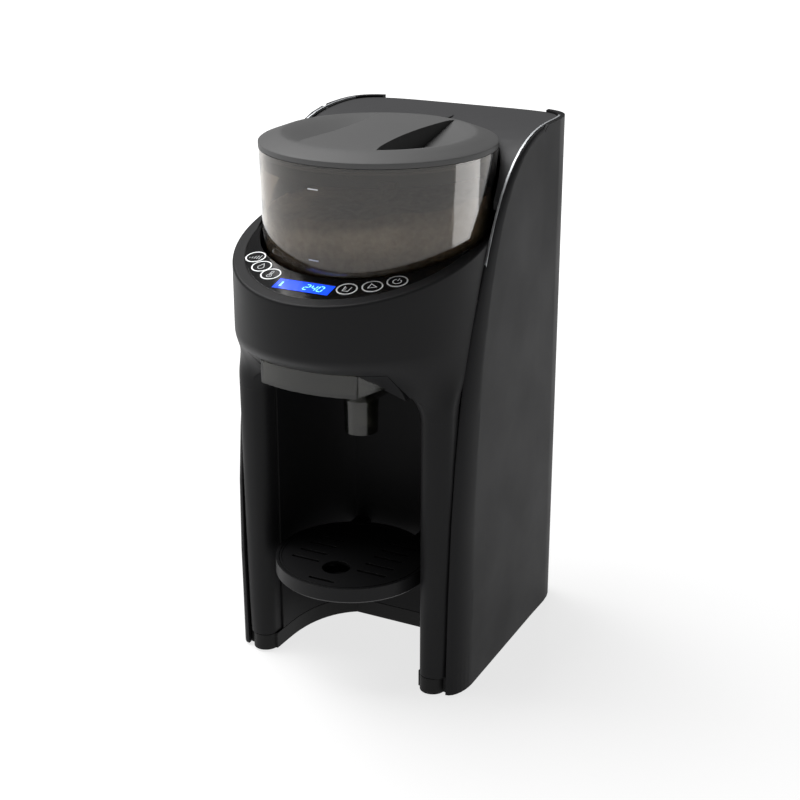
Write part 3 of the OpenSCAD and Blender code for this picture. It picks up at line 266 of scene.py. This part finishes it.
NODE_FINISH = {
    "front": ["front_housing"],
    "base": ["base_tray"],
    "liner": ["bay_liner"],
    "rear": ["rear_housing"],
    "wing": ["left_wing", "right_wing"],
    "deck": ["tank_lid"],
    "lid": ["container_lid"],
    "skirt": ["lid_skirt"],
    "tray": ["drip_tray", "tray_cover"],
    "inner_dark": ["head_floor", "container_seat", "water_pump", "heater_clips", "funnel_switch",
                   "display_module"],
    "inner_white": ["powder_chute", "stirring_wheel", "drive_gear", "motor_pinion", "water_nozzle",
                    "tank_valve", "valve_cap"],
    "panel": ["control_panel"],
    "button": ["button_level", "button_water", "button_warmth", "button_amount", "button_start",
               "button_power"],
    "trim": ["left_edge_trim", "right_edge_trim"],
    "ring": ["button_rings"],
    "steel": ["base_screws", "motor_screws"],
    "motor": ["gear_motor"],
    "heater": ["heater"],
    "bush": ["drive_bush"],
    "container": ["powder_container"],
    "funnel": ["mixing_funnel"],
    "tank": ["water_tank"],
    "seal": ["seat_seal", "lid_seal", "tank_seal", "pump_mount"],
    "hose": ["tank_hose", "pump_hose", "nozzle_hose"],
    "foot": ["rubber_feet", "cord_gland"],
    "board": ["main_board", "power_board", "button_board"],
    "display": ["display_window"],
}

JOIN_DISTANCE = 0.002 * MM
CREASE = math.radians(28)  # faces that meet at a sharper angle keep their edge


def smooth_facets_tree():
    """Geometry Nodes tree: joins loose triangles and shades them smooth up to the sharp angle."""
    tree = bpy.data.node_groups.new("smooth_facets", "GeometryNodeTree")
    sockets = tree.interface.new_socket
    sockets("Geometry", in_out="INPUT", socket_type="NodeSocketGeometry")
    sockets("Geometry", in_out="OUTPUT", socket_type="NodeSocketGeometry")
    for name, value in (("Merge Distance", JOIN_DISTANCE), ("Sharp Angle", CREASE)):
        sockets(name, in_out="INPUT", socket_type="NodeSocketFloat").default_value = value
    source = add_node(tree, "NodeGroupInput")
    joined = add_node(tree, "GeometryNodeMergeByDistance", {
        "Geometry": source.outputs["Geometry"], "Distance": source.outputs["Merge Distance"]})
    soft = add_node(tree, "GeometryNodeSetShadeSmooth", {"Geometry": joined.outputs["Geometry"]},
                    domain="FACE")
    angle = add_node(tree, "GeometryNodeInputMeshEdgeAngle")
    sharp = add_node(tree, "FunctionNodeCompare", {
        "A": angle.outputs["Unsigned Angle"], "B": source.outputs["Sharp Angle"]},
        operation="GREATER_THAN")
    creased = add_node(tree, "GeometryNodeSetShadeSmooth", {
        "Geometry": soft.outputs["Geometry"], "Selection": sharp.outputs["Result"],
        "Shade Smooth": False}, domain="EDGE")
    add_node(tree, "NodeGroupOutput", {"Geometry": creased.outputs["Geometry"]})
    return tree


SMOOTH_FACETS = smooth_facets_tree()


def smooth_shading(thing):
    """Smooth curved faces and flat flat ones, on an object whose mesh stays as it is."""
    thing.modifiers.new("smooth_facets", "NODES").node_group = SMOOTH_FACETS
    weights = thing.modifiers.new("flat_faces_flat", "WEIGHTED_NORMAL")
    weights.mode, weights.keep_sharp = "FACE_AREA", True


def finish_nodes():
    """Gives every CAD node its material, and its smooth shading without a change of its mesh."""
    for finish, names in NODE_FINISH.items():
        for name in names:
            mesh = nodes[name].data
            mesh.materials.clear()
            mesh.materials.append(FINISH[finish])
            smooth_shading(nodes[name])


# ---------- piece helpers ----------

def add_piece(name, mesh, finish, body):
    """Puts a finished mesh into the scene, on its body."""
    piece = bpy.data.objects.new(name, mesh)
    mesh.materials.clear()
    mesh.materials.append(FINISH[finish])
    bpy.context.scene.collection.objects.link(piece)
    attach(piece, body)
    return piece


def plain_mesh(bm, name):
    """The bmesh as a mesh of that name. The bmesh is freed."""
    mesh = bpy.data.meshes.new(name)
    bm.to_mesh(mesh)
    bm.free()
    return mesh


def temporary(mesh):
    """An object to put modifiers on, until settled() takes it away."""
    thing = bpy.data.objects.new("temporary", mesh)
    bpy.context.scene.collection.objects.link(thing)
    return thing


def settled(things, name):
    """The first thing's mesh with its modifiers applied. All the things are removed."""
    graph = bpy.context.evaluated_depsgraph_get()
    mesh = bpy.data.meshes.new_from_object(things[0].evaluated_get(graph))
    mesh.name = name
    for thing in things:
        bpy.data.objects.remove(thing)
    return mesh


def smooth_mesh(bm, name):
    """The bmesh as a plain mesh that is shaded as the CAD nodes are."""
    thing = temporary(plain_mesh(bm, name))
    smooth_shading(thing)
    return settled([thing], name)


def closed_mesh(bm, name):
    """The bmesh as a mesh with its doubles merged and its faces outwards."""
    bmesh.ops.remove_doubles(bm, verts=bm.verts, dist=1e-7)
    bmesh.ops.recalc_face_normals(bm, faces=bm.faces)
    return plain_mesh(bm, name)


def on_circle(radius, angle, centre=(0, 0)):
    """Point on a circle, its angle in degrees anticlockwise from the first axis."""
    turn = math.radians(angle)
    return (centre[0] + radius * math.cos(turn), centre[1] + radius * math.sin(turn))


def arc(radius, start, end, count, centre=(0, 0)):
    """Points on an arc, angles in degrees."""
    return [on_circle(radius, start + (end - start) * i / count, centre) for i in range(count + 1)]


# ---------- solids cut from lofts and prisms, in millimetres ----------

def solid(rings):
    """Closed mesh through rings of equal length, with flat ends."""
    bm = bmesh.new()
    rows = [[bm.verts.new(Vector(p) * MM) for p in ring] for ring in rings]
    for low, high in zip(rows, rows[1:]):
        for k in range(len(low)):
            following = (k + 1) % len(low)
            bm.faces.new((low[k], low[following], high[following], high[k]))
    bm.faces.new(list(reversed(rows[0])))
    bm.faces.new(rows[-1])
    bmesh.ops.recalc_face_normals(bm, faces=bm.faces)
    return plain_mesh(bm, "solid")


def prism(outline, low, high, axis="z"):
    """Closed mesh of an outline between two places on an axis: (x, y), (x, z) or (y, z) points."""
    point = {"z": lambda a, b, c: (a, b, c),
             "y": lambda a, b, c: (a, c, b),
             "x": lambda a, b, c: (c, a, b)}[axis]
    return solid([[point(a, b, c) for a, b in outline] for c in (low, high)])


def carved(base, *steps):
    """The base mesh after each step (operation, mesh) of exact solid cutting."""
    things = [temporary(base)]
    for operation, mesh in steps:
        things.append(temporary(mesh))
        cut = things[0].modifiers.new("cut", "BOOLEAN")
        cut.operation, cut.solver, cut.object = operation, "EXACT", things[-1]
    return settled(things, "carved")


def mirrored(half):
    """A half outline from the middle line outwards, closed by its mirror image."""
    return half + [(-x, y) for x, y in reversed(half)]


def rectangle(x, low, high):
    """Outline that is x to each side of the middle, from low to high."""
    return [(-x, low), (x, low), (x, high), (-x, high)]


# ---------- front housing, in millimetres: the head's drum, flowing into the two legs ----------

FRONT_Y, DECK_Z, WALL = -114.5, 340, 2.6
LIP_Z, SEAM_Z, FOOT_Z = 219, 184, 12.7  # heights of the head's lower lip, its seam, and the base

# The head: an ellipse, drawn round the container's axis, under a rim that rises backwards
HEAD_X, HEAD_DEPTH, HEAD_Y = 77.5, 87, -27.5  # half width, half depth and middle
CONTAINER_Y = -10.7
RIM_Z, RIM_SLOPE = 261.4, 0.25
RIM_ROUNDING = ((1.5, 0), (0.9, 0.12), (0.4, 0.4), (0.1, 0.85), (0, 1.5))  # down, and drawn in
HEAD_HEIGHTS = [*range(190, 232, 2), 238, 248, 258]
LIP_BLOCK = (49.8, 195, 213)        # half width, bottom and top of the lip that stays solid
RAIL_SLOT = (51.2, 213.8, 219.8)    # the same of the slot for the funnel's flange
RIM_WIDTH, PANEL_BED_Z = 7.5, 232   # of the rim round the panel, and how deep the panel is let in
SEAT_R, SEAT_Z = 74.8, 249          # the container's opening

# The side panels' swept front edge: where it starts, how far back it runs, and how full it is
SWEEP_Y, SWEEP_Z, SWEEP_RUN, SWEEP_CURVE = -61, 69, 145.5, 0.514

# The legs: a rounded nose, a side that keeps a groove's width from the panels, a step behind
LEG_X, LEG_Y, LEG_R = 61.4, -64.8, 8.2
LEG_SIDE = [(FOOT_Z, 71.2), (30, 72.0), (60, 72.7), (100, 73.3), (150, 73.8), (200, 74.3)]
LEG_HEIGHTS = (FOOT_Z, 30, 60, 100, 150, SEAM_Z)
LINER_X, LINER_Y, LEG_BACK_Y = 54.8, -50.6, -28.8

# The S between head and legs: it starts above the lip, lower inside the wall than outside
FLOW_START, FLOW_HEIGHT, FLOW_LEAN = 11, 40, 0.46
HALF_POINTS, HALF_TURN = 40, 86     # points of a half outline, and the degrees it spans
NOSE_SHARE, CORNER_SHARE = 0.5, 0.86    # where in it the leg's front and its corner end
FLANK = 2.6                         # depth of the leg's side in it

# The bay: its half width, the funnel's notch above, and the arch's upper corners
BAY_X, NOTCH_X = 53.2, 47.2
ARCH_CENTRE, ARCH_R, ARCH_TOP_Z = (36, 182), 17.2, 197
CORNER_STEPS = (0, 2, 4, 5.5, 6.8, 7.6, 8.05, 8.2)  # forwards round the legs' inner corners
FLARE_YS = (-66, -69, -73, -78, -86, -130)          # and on from there, past the head's front
FLARE_RUN, FLARE_REST = 5, 0.6


def rim_height(y):
    """Height of the head's sloping rim."""
    return RIM_Z + RIM_SLOPE * (y - FRONT_Y)


def swept_edge(share, outside):
    """Point (y, z) on the side panels' swept front edge, drawn that far outside it."""
    climb = (1 - (1 - share) ** 3) ** SWEEP_CURVE
    return (SWEEP_Y - outside + SWEEP_RUN * share, SWEEP_Z + (DECK_Z + outside - SWEEP_Z) * climb)


def ahead_of_sweep(gap):
    """Outline (y, z) of all that lies in front of the side panels, less a gap."""
    edge = [swept_edge((i / 40) ** 2, gap) for i in range(41)]
    return [(-200, -10), (SWEEP_Y - gap, -10)] + edge + [(90, 400), (-200, 400)]


def leg_out(z):
    """The legs' outer side, a narrow groove away from the side panel's rolled edge."""
    for (z0, x0), (z1, x1) in zip(LEG_SIDE, LEG_SIDE[1:]):
        if z <= z1:
            return x0 + (x1 - x0) * max(0, z - z0) / (z1 - z0)
    return LEG_SIDE[-1][1]


def drum_point(angle, inset):
    """Point (x, y) of the drum's outline, by its angle (radians from the front) at the container's
    axis. The outline is the ellipse, drawn in by inset."""
    a, b, dy = HEAD_X - inset, HEAD_DEPTH - inset, CONTAINER_Y - HEAD_Y
    q = (math.sin(angle) / a) ** 2 + (math.cos(angle) / b) ** 2
    h = math.cos(angle) * dy / b / b
    reach = (h + math.sqrt(h * h - q * (dy * dy / b / b - 1))) / q
    return (reach * math.sin(angle), CONTAINER_Y - reach * math.cos(angle))


def housing_line(z, inset):
    """Half outline at height z: the drum's ellipse above, the legs below, a soft S between."""
    t = max(0, min(1, (LIP_Z + FLOW_START - z - FLOW_LEAN * inset) / FLOW_HEIGHT))
    low = t * t * (3 - 2 * t)
    side, corner_y = leg_out(z) - inset, LEG_Y + LEG_R
    points = []
    for i in range(HALF_POINTS):
        share = (i + 0.5) / HALF_POINTS
        if share < NOSE_SHARE:
            leg = (LEG_X * share / NOSE_SHARE, LEG_Y + inset)
        elif share < CORNER_SHARE:
            turn = math.radians(90 * (share - NOSE_SHARE) / (CORNER_SHARE - NOSE_SHARE))
            leg = (LEG_X + (side - LEG_X) * math.sin(turn),
                   corner_y - (LEG_R - inset) * math.cos(turn))
        else:
            leg = (side, corner_y + FLANK * (share - CORNER_SHARE) / (1 - CORNER_SHARE))
        drum = drum_point(math.radians(HALF_TURN * share), inset)
        points.append(tuple(d * (1 - low) + g * low for d, g in zip(drum, leg)))
    return points + [((HEAD_X - inset) * (1 - low) + side * low, 30)]


def head_solid(inset, low_z):
    """The head's closed form with its softly rounded top edge, drawn in by inset."""
    heights = [low_z] + [z for z in HEAD_HEIGHTS if z > low_z]
    rings = [[(x, y, z) for x, y in mirrored(housing_line(z, inset))] for z in heights]
    for down, drawn in ((inset, 0),) if inset else RIM_ROUNDING:
        outline = mirrored(housing_line(300, inset + drawn))
        rings.append([(x, y, rim_height(y) - down) for x, y in outline])
    return solid(rings)


def head_skin():
    """The head as a wall with a solid lip, before its openings are cut."""
    lip = prism(rectangle(*LIP_BLOCK), -130, 40, "y")
    hollow = carved(head_solid(WALL, 200), ("DIFFERENCE", lip))
    return carved(head_solid(0, SEAM_Z), ("DIFFERENCE", hollow))


def arch_profile(grow):
    """Half outline (x, z) of the bay's arch with the funnel's notch, grown outwards."""
    turn = math.degrees(math.acos((NOTCH_X - ARCH_CENTRE[0]) / ARCH_R))
    corner = arc(ARCH_R + grow, 0, turn, 9, ARCH_CENTRE)[1:]
    x, z = corner[-1]
    return [(BAY_X + grow, -5), (BAY_X + grow, ARCH_CENTRE[1])] + corner + [
        (min(x, NOTCH_X + grow), max(z + 1, ARCH_TOP_Z)),
        (NOTCH_X + grow * 0.4, LIP_Z - 4),
        (NOTCH_X - 0.2 + grow * 0.2, LIP_Z)]


def arch_cutter():
    """The bay's open space; towards the front it widens to round the legs' inner corners."""
    corner_y = LEG_Y + LEG_R
    rings = []
    for y in [30, *(corner_y - step for step in CORNER_STEPS), *FLARE_YS]:
        if y < LEG_Y:
            grow = max(FLARE_REST, LEG_R * math.exp((y - LEG_Y) / FLARE_RUN))
        else:
            past = min(max(0, corner_y - y), LEG_R)
            grow = LEG_R - math.sqrt(max(0, LEG_R ** 2 - past ** 2))
        rings.append([(x, y, z) for x, z in mirrored(arch_profile(grow))])
    return solid(rings)


def leg_outline(z):
    """Right leg in plan, from its inner back corner round the nose to its outer back corner."""
    nose = []
    for i in range(21):
        turn = math.radians(9 * i)
        reach = LEG_R if turn < math.pi / 2 else leg_out(z) - LEG_X
        nose.append((LEG_X - reach * math.cos(turn), LEG_Y + LEG_R - LEG_R * math.sin(turn)))
    return [(LEG_X - LEG_R, LINER_Y)] + nose + [
        (leg_out(z), LEG_BACK_Y), (LINER_X, LEG_BACK_Y), (LINER_X, LINER_Y)]


def add_front_housing():
    """Head and legs in one moulding, in place of the plainer CAD node."""
    panel_edge = [drum_point(math.radians(0.5 + 2.5 * i), RIM_WIDTH) for i in range(36)]
    panel_edge = mirrored(panel_edge + [(HEAD_X - RIM_WIDTH, 60)])
    seat = [on_circle(SEAT_R, angle, (0, CONTAINER_Y)) for angle in range(0, 360, 3)]
    head = carved(head_skin(),
                  ("INTERSECT", prism(ahead_of_sweep(0.4), -100, 100, "x")),
                  ("DIFFERENCE", prism(panel_edge, PANEL_BED_Z, 400)),
                  ("DIFFERENCE", prism(seat, SEAT_Z, 400)),
                  ("DIFFERENCE", arch_cutter()),
                  ("DIFFERENCE", prism(rectangle(*RAIL_SLOT), -78, 60, "y")))
    bm = bmesh.new()
    bm.from_mesh(head)
    for side in (1, -1):
        bm.from_mesh(solid([[(side * x, y, z) for x, y in leg_outline(z)] for z in LEG_HEIGHTS]))
    bm.normal_update()
    mesh = smooth_mesh(bm, "front_housing_shell")
    piece = add_piece("front_housing_shell", mesh, "front", "machine")
    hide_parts("front_housing")


CHEEK_EDGE = [(33.2, LIP_Z - 0.3), (33.6, 213), (34.6, 208), (36.2, 204.4), (39, 201),
              (42.5, 198.2), (46.8, 195.6), (46.8, LIP_Z - 0.3)]


def add_funnel_cheeks():
    """Cheeks on the funnel that close the notch of the housing at both sides of its front rim."""
    bm = bmesh.new()
    for side in (1, -1):
        reach = prism([(side * x, z) for x, z in CHEEK_EDGE], -120, -62, "y")
        bm.from_mesh(carved(head_skin(), ("INTERSECT", reach)))
    add_piece("funnel_cheeks", smooth_mesh(bm, "funnel_cheeks"), "front", "funnel")


# ---------- prints on the buttons and the display ----------

PRESS = next(Vector(j["axis"]) for j in frame["joints"] if j["name"] == "button_level_press")
PANEL_TILT = math.atan2(PRESS.y, -PRESS.z)
BUTTONS = ("level", "water", "warmth", "amount", "start", "power")
PRINT_LINE, PRINT_RISE = 0.45 * MM, 0.03 * MM
SIGN_SCALE = 1.3 * MM
DIGIT_WIDTH, DIGIT_HEIGHT, DIGIT_PITCH = 2.9 * MM, 5.6 * MM, 4.5 * MM
DIGIT_SLANT, DIGIT_LINE, DIGIT_START = 0.1, 0.62 * MM, 0.5 * MM
SEGMENT_GAP = 0.12  # of a segment's length, at both its ends
THERMOMETER = [([(-14.4, -1.5), (-14.4, 2)], 0.9), ([(-15.1, -2.1), (-13.7, -2.1)], 1.3)]
SEGMENTS = {"2": "abged", "4": "fgbc", "0": "abcdef"}
SEGMENT_ENDS = {"a": ((0, 2), (1, 2)), "b": ((1, 2), (1, 1)), "c": ((1, 1), (1, 0)),
                "d": ((0, 0), (1, 0)), "e": ((0, 1), (0, 0)), "f": ((0, 2), (0, 1)),
                "g": ((0, 1), (1, 1))}


def ribbon(bm, points, width, closed=False):
    """A printed line: a flat strip along points in local x, y, lying on z = 0."""
    n = len(points)
    rings = []
    for i, point in enumerate(points):
        here = Vector(point).to_2d()
        before = Vector(points[(i - 1) % n]).to_2d() if closed or i else here
        after = Vector(points[(i + 1) % n]).to_2d() if closed or i < n - 1 else here
        first, second = (here - before).normalized(), (after - here).normalized()
        along = (first + second).normalized()
        across = Vector((-along.y, along.x))
        reach = width / 2 / max(0.4, along.dot(first if first.length else second))
        left, right = here + across * reach, here - across * reach
        rings.append([bm.verts.new((*left, 0)), bm.verts.new((*left, PRINT_RISE)),
                      bm.verts.new((*right, PRINT_RISE)), bm.verts.new((*right, 0))])
    for i in range(n if closed else n - 1):
        a, b = rings[i], rings[(i + 1) % n]
        for k in range(4):
            bm.faces.new((a[k], a[(k + 1) % 4], b[(k + 1) % 4], b[k]))
    if not closed:
        bm.faces.new(rings[0])
        bm.faces.new(reversed(rings[-1]))


def add_print(bm, name, finish, node, body):
    """Lays a flat print on the middle of a node's top face, on the sloping panel."""
    low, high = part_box(node)
    middle = (low + high) / 2
    top = max(v.co.dot(-PRESS) for v in nodes[node].data.vertices)
    middle = middle + -PRESS * (top - middle.dot(-PRESS))
    mesh = closed_mesh(bm, name)
    mesh.transform(Matrix.Translation(middle) @ Matrix.Rotation(PANEL_TILT, 4, "X"))
    add_piece(name, mesh, finish, body)


def sign_lines(kind):
    """The lines of each button's generic sign, as (points, closed)."""
    if kind == "level":
        return [([(x, -1.6), (x, -1.6 + 0.75 * (i + 1))], False)
                for i, x in enumerate((-2.4, -1.2, 0, 1.2, 2.4))]
    if kind == "water":
        belly = arc(1.45, 160, 380, 16, (0, -0.7))
        return [([(0, 2.4), (-0.75, 1.0)] + belly + [(0.75, 1.0)], True)]
    if kind == "warmth":
        stem = [(-0.55, -0.55), (-0.55, 2.0)] + arc(0.55, 180, 0, 8, (0, 2.0)) + [(0.55, -0.55)]
        bulb = arc(1.15, 58, -238, 20, (0, -1.55))
        return [(stem + bulb, True), ([(0, -1.5), (0, 1.0)], False)]
    if kind == "amount":
        cup = [(-1.6, 1.9), (-1.3, -1.9), (1.3, -1.9), (1.6, 1.9)]
        return [(cup, False)] + [([(-1.4, y), (-0.3, y)], False) for y in (0.7, -0.4)]
    if kind == "start":
        return [([(-1.3, -1.9), (2.1, 0), (-1.3, 1.9)], True)]
    return [(arc(1.9, 118, 422, 24, (0, -0.2)), False), ([(0, 0.3), (0, 2.5)], False)]


def add_button_prints():
    """A sign on each button: level bars, a drop, a thermometer, a cup, start and on/off."""
    for kind in BUTTONS:
        bm = bmesh.new()
        for points, closed in sign_lines(kind):
            ribbon(bm, [(SIGN_SCALE * x, SIGN_SCALE * y) for x, y in points], PRINT_LINE, closed)
        add_print(bm, f"button_{kind}_print", "print", f"button_{kind}", f"button_{kind}")


def digit_lines(digit):
    """Segment lines of a digit whose lower left corner is at 0, 0."""
    lines = []
    for name in SEGMENTS[digit]:
        (x0, y0), (x1, y1) = SEGMENT_ENDS[name]
        dx, dy = (x1 - x0) * SEGMENT_GAP, (y1 - y0) * SEGMENT_GAP
        lines.append([((x0 + dx) * DIGIT_WIDTH, (y0 + dy) * DIGIT_HEIGHT / 2),
                      ((x1 - dx) * DIGIT_WIDTH, (y1 - dy) * DIGIT_HEIGHT / 2)])
    return lines


def add_display_digits():
    """A plain number, and a small thermometer mark at its left."""
    bm = bmesh.new()
    for i, digit in enumerate("240"):
        for line in digit_lines(digit):
            ribbon(bm, [(x + y * DIGIT_SLANT + DIGIT_START + i * DIGIT_PITCH, y - DIGIT_HEIGHT / 2)
                        for x, y in line], DIGIT_LINE)
    for points, width in THERMOMETER:
        ribbon(bm, [(x * MM, y * MM) for x, y in points], width * MM)
    add_print(bm, "display_digits", "digit", "display_window", "machine")


# ---------- powder and level marks in the container ----------

POWDER_AROUND, POWDER_RINGS = 96, 26
POWDER_CLEARANCE, POWDER_FLOOR = 2.5 * MM, 3.6 * MM  # inside the wall, and above the foot
POWDER_FILL, POWDER_TILT = 0.6, 0.1                  # share of the height, and fall to the left
HEAP_WAVE, HEAP_RISE = 22 * MM, 5 * MM
CRUMB_WAVE, CRUMB_RISE = 6 * MM, 1.6 * MM
# Level marks on the wall: x of their two ends and their height, all from the photograph
LEVEL_MARKS = [(-7.8, -0.8, 320.2), (-8.6, -1.8, 278.2)]
MARK_HALF, MARK_RISE = 0.4 * MM, 0.04 * MM


def container_wall():
    """Middle of the container, its foot's and its rim's height, and the wall's radius by height."""
    low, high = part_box("powder_container")
    middle = (low + high) / 2
    points = [v.co for v in nodes["powder_container"].data.vertices]
    top = max((p - middle).to_2d().length for p in points if p.z > high.z - MM)
    foot = max((p - middle).to_2d().length for p in points if p.z < low.z + 3 * MM)

    def radius(z):
        return foot + (top - foot) * (z - low.z) / (high.z - low.z)

    return middle, low.z, high.z, radius


def add_powder():
    """A heap of powder with a clumpy, uneven top, inside the clear wall."""
    middle, z_low, z_high, wall_radius = container_wall()
    floor = z_low + POWDER_FLOOR
    level = z_low + POWDER_FILL * (z_high - z_low)
    angles = [2 * math.pi * k / POWDER_AROUND for k in range(POWDER_AROUND)]
    bm = bmesh.new()

    def radius(z):
        return wall_radius(z) - POWDER_CLEARANCE

    def surface(x, y):
        heap = noise.noise(Vector((x, y, 0)) / HEAP_WAVE)
        crumbs = noise.noise(Vector((x, y, 3)) / CRUMB_WAVE)
        return level + HEAP_RISE * heap + CRUMB_RISE * crumbs + x * POWDER_TILT

    def point(reach, angle, z):
        return bm.verts.new((middle.x + reach * math.cos(angle),
                             middle.y + reach * math.sin(angle), z))

    pole = point(0, 0, surface(0, 0))
    layers = [[pole] * POWDER_AROUND]
    for ring in range(1, POWDER_RINGS + 1):
        reach = ring / POWDER_RINGS * radius(level)
        row = []
        for angle in angles:
            z = surface(reach * math.cos(angle), reach * math.sin(angle))
            row.append(point(radius(z) if ring == POWDER_RINGS else reach, angle, z))
        layers.append(row)
    layers.append([point(radius(floor), angle, floor) for angle in angles])
    for inner, outer in zip(layers, layers[1:]):
        for k in range(POWDER_AROUND):
            following = (k + 1) % POWDER_AROUND
            corners = [inner[k], outer[k], outer[following], inner[following]]
            bm.faces.new(list(dict.fromkeys(corners)))
    bm.faces.new(layers[-1])
    mesh = closed_mesh(bm, "milk_powder")
    for face in mesh.polygons:
        face.use_smooth = True
    add_piece("milk_powder", mesh, "powder", "container")


def add_level_marks():
    """Two short ticks printed round the container's front."""
    middle, _, _, radius = container_wall()
    bm = bmesh.new()
    for start, end, height in LEVEL_MARKS:
        z = height * MM
        out = radius(z) + MARK_RISE
        edges = []
        for i in range(7):
            x = (start + (end - start) * i / 6) * MM
            y = middle.y - math.sqrt(out * out - x * x)
            edges.append([bm.verts.new((x, y, z + dz)) for dz in (-MARK_HALF, MARK_HALF)])
        for a, b in zip(edges, edges[1:]):
            bm.faces.new((a[0], b[0], b[1], a[1]))
    add_piece("level_marks", closed_mesh(bm, "level_marks"), "print", "container")


# ---------- stage ----------

SWEEP_HALF = 8                      # metres from the middle of the white floor to its edges
GLOW_NEAR, GLOW_FAR = 0.3, 1.1      # metres between which the floor brightens to the horizon
FLOOR_DIM, FLOOR_BRIGHT = 0.76, 1.1  # its glow there
WORLD_LIGHT, WORLD_SEEN = 0.1, 1.05  # what the white backdrop lights, and how bright it looks


def add_stage():
    """White sweep, bright to the horizon, with a faint shadow and reflection round the feet."""
    corners = [(x * SWEEP_HALF, y * SWEEP_HALF, 0) for x, y in ((-1, -1), (1, -1), (1, 1), (-1, 1))]
    floor_mesh = bpy.data.meshes.new("floor")
    floor_mesh.from_pydata(corners, [], [(0, 1, 2, 3)])
    floor = bpy.data.objects.new("floor", floor_mesh)
    material, tree, surface = new_material("white_sweep", "#989898", 0.22, Specular_IOR_Level=0.5)
    place = add_node(tree, "ShaderNodeTexCoord").outputs["Object"]
    away = add_node(tree, "ShaderNodeVectorMath", {0: place}, operation="LENGTH")
    glow = add_node(tree, "ShaderNodeMapRange", {
        "Value": away.outputs["Value"], "From Min": GLOW_NEAR, "From Max": GLOW_FAR,
        "To Min": FLOOR_DIM, "To Max": FLOOR_BRIGHT})
    surface.inputs["Emission Color"].default_value = (1, 1, 1, 1)
    tree.links.new(glow.outputs["Result"], surface.inputs["Emission Strength"])
    floor_mesh.materials.append(material)
    bpy.context.scene.collection.objects.link(floor)

    world = bpy.data.worlds.new("studio")
    bpy.context.scene.world = world
    world.use_nodes = True
    tree = world.node_tree
    background = tree.nodes["Background"]
    background.inputs["Color"].default_value = (1, 1, 1, 1)
    seen = add_node(tree, "ShaderNodeLightPath").outputs["Is Camera Ray"]
    level = add_node(tree, "ShaderNodeMapRange", {"Value": seen, "To Min": WORLD_LIGHT,
                                                  "To Max": WORLD_SEEN})
    tree.links.new(level.outputs["Result"], background.inputs["Strength"])
    bpy.context.scene.view_settings.view_transform = "Standard"


def add_softbox(name, place, aim, size, power):
    """A soft lamp of size (width, height) in metres and of that power in watts."""
    light = bpy.data.lights.new(name, "AREA")
    light.shape, light.size, light.size_y, light.energy = "RECTANGLE", size[0], size[1], power
    lamp = bpy.data.objects.new(name, light)
    lamp.location = place
    lamp.rotation_euler = (Vector(place) - Vector(aim)).to_track_quat("Z", "Y").to_euler()
    bpy.context.scene.collection.objects.link(lamp)
    return lamp


def light_only(lamp, *pieces):
    """Keeps a lamp's light to the given pieces, as a flag beside it would."""
    lit = bpy.data.collections.new(lamp.name)
    for piece in pieces:
        lit.objects.link(piece)
    lamp.light_linking.receiver_collection = lit


add_camera()
add_stage()
# A wide softbox above and to the left, and a small one at the right for the container only
add_softbox("overhead", (-0.9, 0.1, 1.9), (0, 0.1, 0.1), (1.7, 1.7), 62)
container_light = add_softbox("container_side", (0.44, 0.22, 0.2), (0, 0, 0.28), (0.3, 0.5), 1.6)
finish_nodes()
add_front_housing()
add_funnel_cheeks()
add_button_prints()
add_display_digits()
add_powder()
add_level_marks()
light_only(container_light, nodes["powder_container"], bpy.data.objects["milk_powder"])
